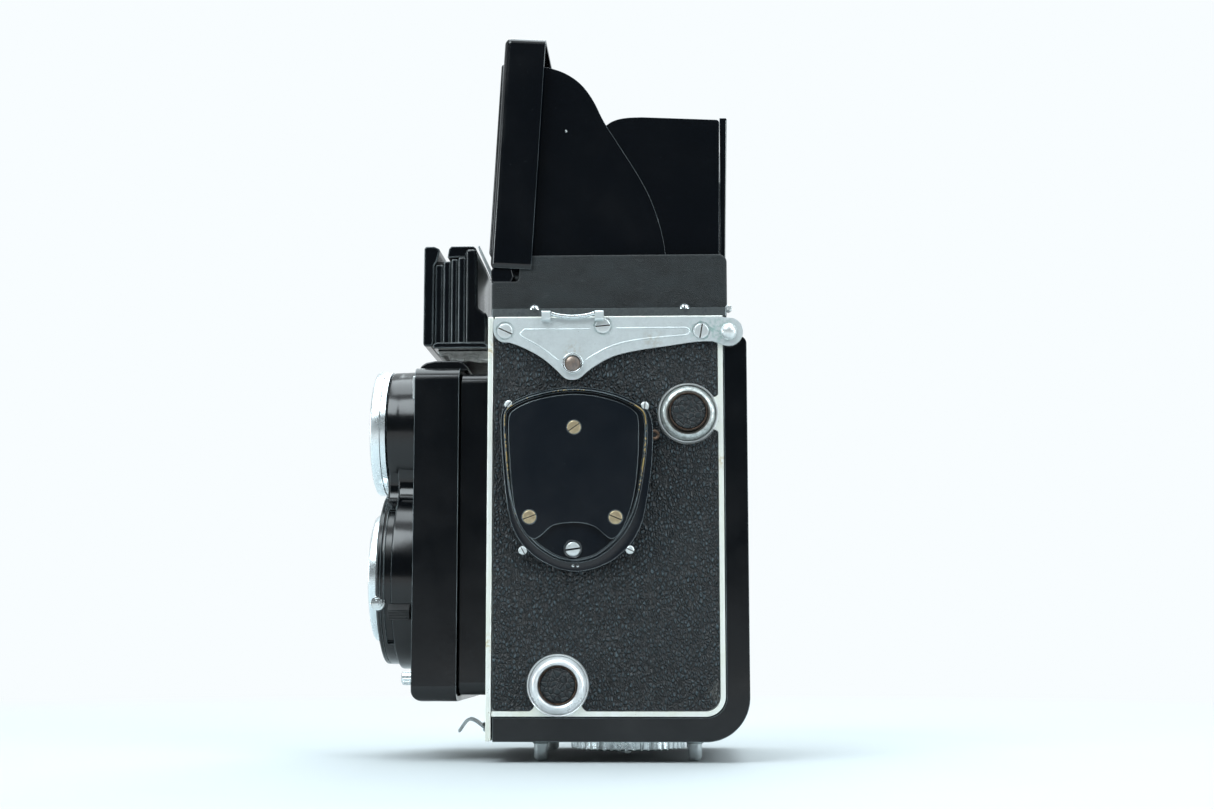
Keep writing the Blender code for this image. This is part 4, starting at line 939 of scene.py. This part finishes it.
def lens(prefix, height, front, rear, barrel_rear, glass_at):
    """One lens: chrome bayonet ring with its three catches, ribbed black barrel, coated front glass."""
    def add(name, profile, look, stands_for=(), bevel=0.0, steps=MANY):
        shape = turned(profile, "X", (0, 0, height), steps)
        piece(f"{prefix}_{name}", shape, look, "standard", stands_for, bevel)

    profile = [
        (15.6, front + 0.6), (16.2, front), (17.9, front), (18.6, front + 0.25), (19.0, front + 0.9),
        (19.0, front + 2.9), (18.75, front + 3.1), (18.75, rear), (15.6, rear),
    ]
    catches = discs(around((0, height), 15.4, 3, 90), 1.6, front - 1, front + 1.0, "X", 24)
    bayonet = carved(turned(profile, "X", (0, 0, height), 128), catches)
    piece(f"{prefix}_bayonet_ring", bayonet, RING, "standard", (f"{prefix}_bayonet",), 0.08)
    ribs, deepest, run = 5, glass_at - 0.8, front + 2.4 - glass_at
    inside = [(15.4, front + 0.9), (15.4, barrel_rear), (10.2, barrel_rear), (10.2, glass_at - 0.6)]
    for i in range(ribs):
        radius = 10.4 + 4.2 * i / ribs
        inside += [(radius + 0.2, deepest + run * i / ribs), (radius + 0.5, deepest + run * (i + 1) / ribs + 0.15)]
    add("barrel_ribbed", [*inside, (14.8, front + 0.9)], MATT, (f"{prefix}_barrel",))
    dome = [(r, glass_at + 1.5 - h) for r, h in domed(9.9, 1.5, 10)]
    add("front_glass", [*dome, (9.9, glass_at + 3.2), (0, glass_at + 4.0)], GLASS, (f"{prefix}_glass",))
    low, high = glass_at - 0.9, glass_at - 0.1
    add("retainer", [(9.2, low), (10.6, low), (10.6, high), (9.2, high)], ENAMEL, bevel=0.15)
    low, high = glass_at + 5.0, glass_at + 5.5
    add("inner_stop", [(0, low), (10.0, low), (10.0, high), (0, high)], MATT, steps=64)


def shutter_controls():
    centre = (0, TAKING_Z)
    rim = [(19.5, -70.1), (19.5, -70.7), (23.2, -71.0), (24.1, -70.9), (24.4, -70.6), (24.4, -70.1)]
    slots = discs(around(centre, 24.7, 12, 15), 0.9, -73, -69, "X", 20)
    stop_ring = carved(turned(rim, "X", (0, *centre), 128), slots)
    piece("stop_ring", stop_ring, ENAMEL, "aperture", ("aperture_ring",), 0.08)
    spot = (-70.0, -23.4, TAKING_Z - 8.05)
    stack = (("washer", 2.1, -1.2, -0.2), ("nut", 1.5, -2.2, -1.2), ("tip", 0.8, -3.1, -2.2))
    for label, radius, low, high in stack:
        piece(f"stop_lever_{label}", disc(radius, low, high, "Y", spot, 40), CHROME, "aperture", bevel=0.15)
    angle = math.degrees(math.atan2(-10, -24))
    tab = [*arc(centre, 27.4, angle - 5, angle + 5, 8), *arc(centre, 29.7, angle + 3, angle - 3, 8)]
    ribs = discs(arc(centre, 29.9, angle - 2.4, angle + 2.4, 4), 0.35, -67.5, -60, "X", 8)
    piece("timer_lever_tab", carved(prism(tab, -66.6, -60.4, "X"), ribs), MATT, "timer", ("timer_lever",), 0.2)
    profile = [(0, -62.3), (1.3, -62.2), (1.9, -61.8), (2.0, -61.3), (2.0, -56.0), (0, -56.0)]
    knurls = discs(around(SHUTTER_BUTTON, 2.05, 16), 0.22, -63, -58.6, "X", 8)
    button = carved(turned(profile, "X", (0, *SHUTTER_BUTTON), 64), knurls)
    piece("release_button_knurled", button, CHROME, "release", ("release_button",))


def focus_lever():
    x = -40.2
    line = [(x + 0.2, 8.3), *softened([(x - 1.2, 8.6), (x - 4.2, 10.9), (x - 6.2, 11.0), (x - 8.6, 7.4)])]
    lower = [(a + 0.15, b - 0.85) for a, b in reversed(line)]
    hub = turned([(0, 6.8), (1.2, 6.8), (1.5, 7.1), (1.5, 9.5), (0, 9.6)], "Z", (x, 0, 0), 48)
    tongue = carved(prism([*line, *lower], -3.1, 3.1), [], [hub])
    piece("focus_tongue", tongue, SATIN, "focus", ("focus_lever",), 0.15)


# ---------------------------------------------------------------- light cell above the lens
def light_cell():
    """The cell's ribbed housing, its cap, the window frame in front and the bent sheets that hold it."""
    def across(name, outline, half, look=CELL_BLACK, stands_for=(), bevel=0.3, segments=3):
        piece(f"cell_{name}", prism(outline, -half, half), look, "body", stands_for, bevel, segments)

    ribs = ((-54.7, -52.4, 144.7), (-52.2, -50.0, 145.6), (-49.8, -47.9, 146.2), (-47.7, -45.5, 146.6))
    for i, (front, rear, top) in enumerate(ribs):
        half = 23.8 - 0.45 * (3 - i)
        rib = block((front, -half, 120.6), (rear, half, top), 0.5, "X", 3)
        piece(f"cell_rib_{i}", rib, CELL_BLACK, "body", ("cell_housing",) if i == 0 else (), 0.75, segments=5)
    core = block((-54.8, -21.0, 120.6), (-44.0, 21.0, 146.0), 0.5, "X", 3)
    piece("cell_core", core, MATT, "body", bevel=0.2)
    rear = [(-45.4, 120.4), (-45.4, 149.0), (-42.6, 149.0), (-42.0, 146.6), (-41.8, 131.4), (-39.0, 129.4),
            (-39.0, 120.4)]
    across("rear_block", rear, 24, bevel=0.8, segments=5)
    cap = [(-51.1, 146.7), (-50.7, 149.4), (-50.0, 150.2), (-43.4, 150.2), (-42.7, 149.6), (-42.3, 148.6),
           (-45.3, 148.2), (-45.6, 146.9)]
    across("cap", cap, 22.6)
    sole = [(-54.9, 119.2), (-54.9, 120.4), (-53.8, 121.0), (-39.8, 121.0), (-38.8, 120.2), (-38.8, 119.2)]
    across("sole", sole, 24)
    front = [(-58.0, 120.6), (-57.5, 120.0), (-55.6, 120.0), (-55.0, 120.8), (-54.9, 144.4), (-54.2, 145.4),
             (-53.4, 148.6), (-53.5, 149.4), (-55.0, 150.1), (-57.5, 150.1), (-58.0, 149.5)]
    windows = [block((-60, 6 * i - 20.1, 125), (-56.8, 6 * i - 15.9, 145.4), 0.8, "X", 3) for i in range(7)]
    window_frame = carved(prism(front, -23, 23), windows)
    piece("cell_front_frame", window_frame, CELL_BLACK, "body", ("cell_window",), 0.7, segments=5)
    piece("cell_pane", block((-57.3, -20.5, 124.4), (-56.9, 20.5, 146.0)), GLASS, "body")
    bracket = [(-54.0, 119.2), (-54.1, 118.3), (-52.6, 117.4), (-51.2, 117.6), (-49.6, 115.8), (-47.2, 115.3),
               (-44.8, 115.9), (-41.6, 115.3), (-37.4, 115.4), (-37.4, 119.2)]
    across("bracket_block", bracket, 20, SHEET, ("cell_bracket",), 0.35)
    folds = ((-53.0, -49.6, 117.8, 0.5), (-50.4, -45.8, 116.5, 0.9), (-46.6, -41.6, 117.6, 0.6),
             (-42.4, -38.0, 116.4, 0.8))
    for i, (left, right, level, thick) in enumerate(folds):
        fold = [(left, level), (left + 1.2, level + 0.5), (right, level + 0.2), (right - 0.6, level - thick)]
        piece(f"cell_bracket_fold_{i}", prism(fold, -20.7, -19), SHEET, "body", bevel=0.15)
    sheet = [(-42.9, 151.5), (-42.3, 151.8), (-37.9, 141.6), (-37.9, 126.2), (-38.5, 126.2), (-38.5, 141.3)]
    across("sheet", sheet, 16, SATIN, ("cell_shield",), 0.12)


# ---------------------------------------------------------------- far side
def crank():
    """The crank's plate, its arm and the fluted grip. Heights are from the plate's foot."""
    base = TRIM_FACE + 0.2
    x, z = CRANK
    grip_z = z - CRANK_REACH

    def shape(profile, height, steps=MANY):
        return turned([(r, base + h) for r, h in profile], "Y", (x, 0, height), steps)

    plate = shape([(0, 0), (15, 0), (15, 0.9), (14.4, 1.5), (12.2, 1.7), (11.8, 2.2), (0, 2.2)], z)
    piece("crank_plate_turned", plate, SATIN, "body", ("crank_plate",), 0.08)
    hub = shape([(0, 2.5), (6.4, 2.5), (7, 3.0), (7, 4.6), (6.0, 5.2), (0, 5.2)], z)
    bar = [*arc((x, z), 4.4, 20, 160, 10), *arc((x, grip_z), 4.6, 180, 360, 18)]
    arm = carved(hub, [], [prism(bar, base + 2.9, base + 4.9)])
    piece("crank_arm_forged", arm, CHROME, "crank", ("crank_arm",), 0.25)
    screw("crank_screw", (x, base + 5.1, z), (0, 1, 0), 2.4, "crank", CHROME, 20)
    grip = [(0, 5.2), (3.2, 5.2), (3.4, 5.8), (4.3, 6.6), (4.4, 9.0), (3.8, 10.3), (2.4, 10.8), (0, 10.8)]
    grooves = discs(around((x, grip_z), 4.45, 20), 0.3, base + 6.4, 49, "Y", 8)
    piece("crank_grip_fluted", carved(shape(grip, grip_z, 80), grooves), GRIP, "crank_grip", ("crank_handle",))


def counter():
    """The frame counter's window over its dial, and the screws of the far side's leather."""
    x, z = COUNTER
    centre, low = (x, 0, z), TRIM_FACE + 0.15
    rim = turned([(3.9, low), (5.6, low), (5.6, low + 0.8), (5.0, low + 1.3), (3.9, low + 1.0)], "Y", centre)
    piece("counter_frame", rim, CHROME, "body", bevel=0.06)
    pane = [(0, low + 0.3), (3.8, low + 0.3), (3.8, low + 0.9), (2.4, low + 1.3), (0, low + 1.5)]
    piece("counter_pane", turned(pane, "Y", centre, 64), CLEAR, "body", ("counter_window",))
    piece("counter_dial", disc(3.8, low - 0.05, low + 0.15, "Y", centre, 48), TRIM, "body")
    text = bpy.data.curves.new("counter_number", "FONT")
    text.body, text.size, text.extrude = "1", 4.6 * MM, 0.03 * MM
    text.align_x = text.align_y = "CENTER"
    text.materials.append(MATT)
    digit = linked("counter_number", text)
    digit.location = metres((x, low + 0.22, z))
    digit.rotation_euler = (math.radians(90), 0, math.radians(180))
    settle(digit, "body", ())
    for i, (sx, sz) in enumerate(((-30, 22), (24, 22), (24, 108), (-30, 108))):
        screw(f"far_side_screw_{i}", (sx, TRIM_FACE - 0.1, sz), (0, 1, 0), 1.5, "body", CHROME, 40 * i, 0.5, 0.22)


# ---------------------------------------------------------------- hood
def hood_rail():
    opening = block((-34.9, -28.9, 125), (23.1, 28.9, 130))
    shape = carved(block((-36.4, -37.0, 126.0), (31.2, 37.0, 128.5), 0.6, "Z"), [opening])
    piece("hood_rail_frame", shape, GREY, "body", ("hood_rail",), 0.4, segments=4)
    dome = [(0, 1.25), (0.9, 1.1), (1.45, 0.6), (1.6, 0.0), (1.6, -0.4), (0, -0.4)]
    for label, sign in SIDES:
        for x in (-24.0, 19.1):
            rivet = turned(dome, "Z", (x, sign * 36.1, 128.5), 40)
            piece(f"rail_rivet_{label}_{int(x)}", rivet, CHROME, "body")
    catch = turned([(0, -36.9), (0.7, -36.9), (1.0, -36.6), (1.0, -34.4), (0, -34.4)], "Y", (31.8, 0, 128.3), 32)
    piece("hood_catch", catch, PEARL, "body")


def hood_walls():
    front, rear, half, wall, base, top = -36.5, 31.4, 35.1, 1.9, 128.7, 144.5
    inside = half - wall
    profile = [
        (front, base), (rear, base), *arc((rear - 2.4, top - 2.4), 2.4, 0, 90, 10),
        (-27.6, top), (-28.4, top - 0.8), (-28.8, 137.5), (-29.4, 136.9), (front + 0.6, 136.9), (front, 136.3),
    ]
    hollow = block((front + wall, -inside, 127), (rear - 1.2, inside, 150))
    shape = carved(prism(profile, -half, half), [hollow, block((28, -inside, 139.4), (40, inside, 150))])
    piece("hood_walls", shape, WORN, "body", ("hood_base",), 0.6, segments=4)
    hinge = [(-36.7, 136.6), (-31.0, 136.6), (-30.2, 138.4), (-31.0, 141.2), (-36.1, 141.4), (-36.9, 140.0)]
    for label, sign in SIDES:
        piece(f"lid_hinge_{label}", side(prism(hinge, -35.0, -28.6), sign), ENAMEL, "body", bevel=0.4)


LEAF_RISE = [(13.6, 0.4), (13.9, 6.6), (12.7, 13.4), (9.9, 22.4), (6.1, 29.9), (-0.6, 40.6), (-4.4, 46.6),
             (-7.0, 52.6), (-10.6, 57.8), (-15.4, 61.3), (-20.5, LEAF_TOP)]
LEAF_FRONT = [(-30.5, 0.4), *softened(LEAF_RISE), (-27.4, LEAF_TOP)]
LEAF_REAR = [(-3.0, 0.4), (29.2, 0.4), *arc((28.7, 45.8), 1.0, 0, 80, 6),
             *softened([(7.0, 47.8), (2.0, 47.7), (-1.6, 46.8), (-3.8, 45.2)])]


def leaf(name, body, sign, hinge_z):
    """A folding side: tall front plate outside, rear plate riveted inside, bare metal and a painted highlight along
    their edges.
    """
    outer = -32.9
    front, rear = [[(x, z + hinge_z) for x, z in outline] for outline in (LEAF_FRONT, LEAF_REAR)]
    piece(f"{name}_front", side(prism(front, outer, outer + 0.75), sign), ENAMEL, body, (name,), 0.14)
    piece(f"{name}_rear", side(prism(rear, outer + 0.78, outer + 1.4), sign), ENAMEL, body, bevel=0.14)
    barrel = disc(0.42, -30.0, 29.0, "X", (0, sign * 32.5, hinge_z), 24)
    piece(f"{name}_hinge_barrel", barrel, GREY, body)
    dot = [(0, -33.05), (0.3, -33.0), (0.45, -32.85), (0.45, -32.6), (0, -32.6)]
    dot = turned(dot, "Y", (-15.3, 0, 43.6 + hinge_z), 24)
    piece(f"{name}_dot", side(dot, sign), CHROME, body)


def rear_panel():
    """The back of the hood, with its side flanges, leaning back a little."""
    sheet = block((PANEL_X - 0.45, -30.8, PANEL_Z - 0.2), (PANEL_X + 0.45, 30.8, 186.2), 1.6, "X", 6)
    sheet = leaned(sheet, PANEL_LEAN, (PANEL_X, PANEL_Z))
    piece("rear_panel_sheet", sheet, ENAMEL, "rear_panel", ("hood_rear_panel",), 0.14)
    barrel = disc(0.5, -30.6, 30.6, "Y", (PANEL_X, 0, PANEL_Z), 24)
    piece("rear_panel_barrel", barrel, GREY, "rear_panel")
    edge = [(29.8, 141.4), (31.1, 141.4), (31.95, 185.6), (31.7, 186.1), (29.8, 186.1)]
    # A pale metal strip beside each flange: a painted reflection along the flange's edge.
    line = [(30.95, 142.0), (31.15, 142.0), (31.85, 185.4), (31.62, 185.4)]
    for label, sign in SIDES:
        flange = side(prism(edge, -30.95, -30.55), sign)
        piece(f"rear_panel_edge_{label}", flange, ENAMEL, "rear_panel", bevel=0.1)
        piece(f"rear_panel_line_{label}", side(prism(line, -31.0, -30.6), sign), SHEET, "rear_panel")


def lid():
    """The lid: a pressed tray with soft corners and a raised field on its face."""
    front, wall, half, top, depth, soft = -37.2, 0.8, 36.3, 209.9, 12.0, 2.0
    outer = block((front, -half, 140.4), (front + depth + 4, half, top), soft, segments=8)
    hollow = block((front + wall, -half + wall, 130), (front + 20, half - wall, top - wall), soft - wall)
    behind = block((front + depth, -half - 5, 130), (front + 30, half + 5, top + 5))
    x, z = MAGNIFIER
    lugs = [side(block((x - 2.8, -18.0, z - 1.6), (x + 1.2, -16.8, z + 1.6)), sign) for _, sign in SIDES]
    tray = carved(carved(leaned(outer), [leaned(hollow), leaned(behind)]), [], lugs)
    piece("lid_tray", tray, ENAMEL, "lid", ("hood_lid",), 0.2)
    field = block((front - 0.9, -half + 3.4, 145.0), (front + 1.2, half - 3.4, top - 7.2), 0.85, segments=5)
    piece("lid_field", leaned(field), ENAMEL, "lid")
    boss = [(0, front - 1.2), (7.6, front - 1.2), (8.4, front - 1.0), (8.4, front + 0.4), (0, front + 0.4)]
    piece("lid_roundel", leaned(turned(boss, "X", (0, 0, 176.0))), ENAMEL, "lid", bevel=0.1)
    spring = leaned(block((front + 1.2, -21.5, 150), (front + 1.9, -19.5, 198), 0.3, "X", 3))
    piece("lid_spring", spring, CHROME, "lid", bevel=0.1)


def magnifier():
    x, z = MAGNIFIER
    centre = (0, 0, z - 20)
    holder = carved(
        block((x - 1.1, -14.5, z - 36), (x + 1.1, 14.5, z), 4.0, "X", 10),
        [disc(12.2, x - 3, x + 3, "X", centre)], [disc(1.3, -16.5, 16.5, "Y", (x, 0, z), 32)],
    )
    piece("magnifier_holder", holder, GRIP, "magnifier", ("magnifier_frame",), 0.25)
    piece("magnifier_bezel", ring(11.4, 12.2, x - 1.5, x + 1.5, "X", centre), CHROME, "magnifier", bevel=0.12)
    face = [(r, h + 0.1) for r, h in domed(11.4, 1.5, 8)]
    profile = [(r, x - h) for r, h in face] + [(r, x + h) for r, h in reversed(face)]
    piece("magnifier_glass", turned(profile, "X", centre), CLEAR, "magnifier", ("magnifier_lens",))


# ---------------------------------------------------------------- stage, in metres
BACKDROP = (0.939, 0.982, 1.0)
SOFT_WHITE = (0.86, 0.955, 1.0)
AIM = Vector((0, 0, 0.09))
# Name, place, size and power of each softbox. The last two only draw the gleam on edges and rims.
SOFTBOXES = (
    ("key", (-0.5, -0.75, 0.95), (0.6, 0.6), 9.0),
    ("fill", (0.75, -0.7, 0.75), (0.6, 0.6), 6.0),
    ("top", (0.0, 0.1, 1.2), (0.9, 0.9), 11.0),
    ("back", (0.2, 0.9, 0.9), (0.9, 0.7), 7.0),
    ("rim_left", (-1.1, -0.3, 0.12), (0.16, 0.8), 5.0),
    ("rim_right", (1.1, -0.3, 0.12), (0.16, 0.8), 5.0),
)
# The sky's brightness over its axes: axis, where it starts and ends, and how bright it is there.
SKY_BANDS = (
    ("Y", -0.15, 0.5, 0.06, 0.75), ("Z", 0.35, 0.9, 0.0, 1.0),
    ("X", -0.75, -0.95, 0.0, 0.7), ("X", 0.75, 0.95, 0.0, 0.7),
)


def backing(name, look, make, **settings):
    """A floor or a backdrop made by one mesh operator."""
    shape = bmesh.new()
    make(shape, **settings)
    obj = plain_object(shape, name)
    obj.data.materials.append(look.material)
    return obj


def stage():
    """A pale floor that fades into a white backdrop, and soft light from above and in front."""
    look = Look("studio_floor", (0.50, 0.54, 0.555), 0.8)
    gap = look.add("ShaderNodeVectorMath", {0: look.place}, "Value", operation="LENGTH")
    glow = look.add("ShaderNodeEmission", {"Color": BACKDROP})
    fade = {0: look.ramp(gap, 0.16, 0.6), 1: look.shader.outputs[0], 2: glow}
    look.feed(look.tree.nodes["Material Output"].inputs["Surface"], look.add("ShaderNodeMixShader", fade))
    look.shade({SPECULAR: 0.2})
    backing("floor", look, bmesh.ops.create_circle, cap_ends=True, segments=64, radius=4.0)

    paper = Look("studio_backdrop", (0, 0, 0), 1.0)
    paper.shade({SPECULAR: 0.0, "Emission Color": BACKDROP, "Emission Strength": 1.0})
    dome = backing("backdrop", paper, bmesh.ops.create_icosphere, subdivisions=4, radius=5.0)
    dome.visible_diffuse = dome.visible_glossy = dome.visible_shadow = dome.visible_transmission = False

    world = bpy.data.worlds.new("studio")
    bpy.context.scene.world = world
    world.use_nodes = True
    sky = Nodes(world.node_tree, "Generated")
    bands = [sky.ramp(sky.along(axis), *band, "SMOOTHSTEP") for axis, *band in SKY_BANDS]
    brightness = bands[0]
    for band in bands[1:]:
        brightness = sky.math("MAXIMUM", brightness, band)
    background = sky.tree.nodes["Background"]
    sky.feed(background.inputs["Strength"], brightness)
    sky.feed(background.inputs["Color"], (0.9, 0.97, 1.0))

    for name, spot, (width, height), power in SOFTBOXES:
        data = bpy.data.lights.new(name, "AREA")
        data.shape, data.size, data.size_y, data.energy, data.color = "RECTANGLE", width, height, power, SOFT_WHITE
        lamp = linked(name, data)
        lamp.location = spot
        lamp.rotation_euler = (AIM - Vector(spot)).to_track_quat("-Z", "Y").to_euler()
        lamp.visible_diffuse = not name.startswith("rim")


def camera():
    """The photograph's view: a long normal lens, low, looking up a little."""
    data = bpy.data.cameras.new("view")
    data.sensor_width, data.lens, data.clip_start = 36.0, 53.4, 0.01
    eye = linked("view", data)
    eye.location = metres((15.0, -546.0, 33.9))
    eye.rotation_euler = [math.radians(angle) for angle in (90 + 7.455, 0.04, 2.045)]
    bpy.context.scene.camera = eye
    bpy.context.scene.view_settings.view_transform = "Standard"


def build():
    front_plate()
    for label, sign in (("left", -1), ("right", 1)):
        side_trim(f"side_trim_{label}", sign)
        side_leather(f"side_leather_{label}", sign)
        strap_plate(f"strap_plate_{label}", sign)
        strap_bail(f"strap_bail_{label}", f"bail_{label}", sign)
    meter()
    knob("spool_knob_lower", SUPPLY, "knob_lower", 41.0)
    knob("spool_knob_upper", TAKE_UP, "knob_upper", 44.0)
    spool("supply_spool", SUPPLY, "supply")
    spool("take_up_spool", TAKE_UP, "take_up")
    internals()
    back_cover()
    under_side()
    lens_panel()
    shroud()
    lens("viewing", VIEWING_Z, -74.3, -69.7, -59.4, -67.6)
    lens("taking", TAKING_Z, -74.1, -70.1, -54.0, -67.0)
    shutter_controls()
    focus_lever()
    light_cell()
    crank()
    counter()
    hood_rail()
    hood_walls()
    leaf("hood_leaf_left", "leaf_left", -1, LEFT_LEAF_Z)
    leaf("hood_leaf_right", "leaf_right", 1, RIGHT_LEAF_Z)
    rear_panel()
    lid()
    magnifier()
    stage()
    camera()


build()
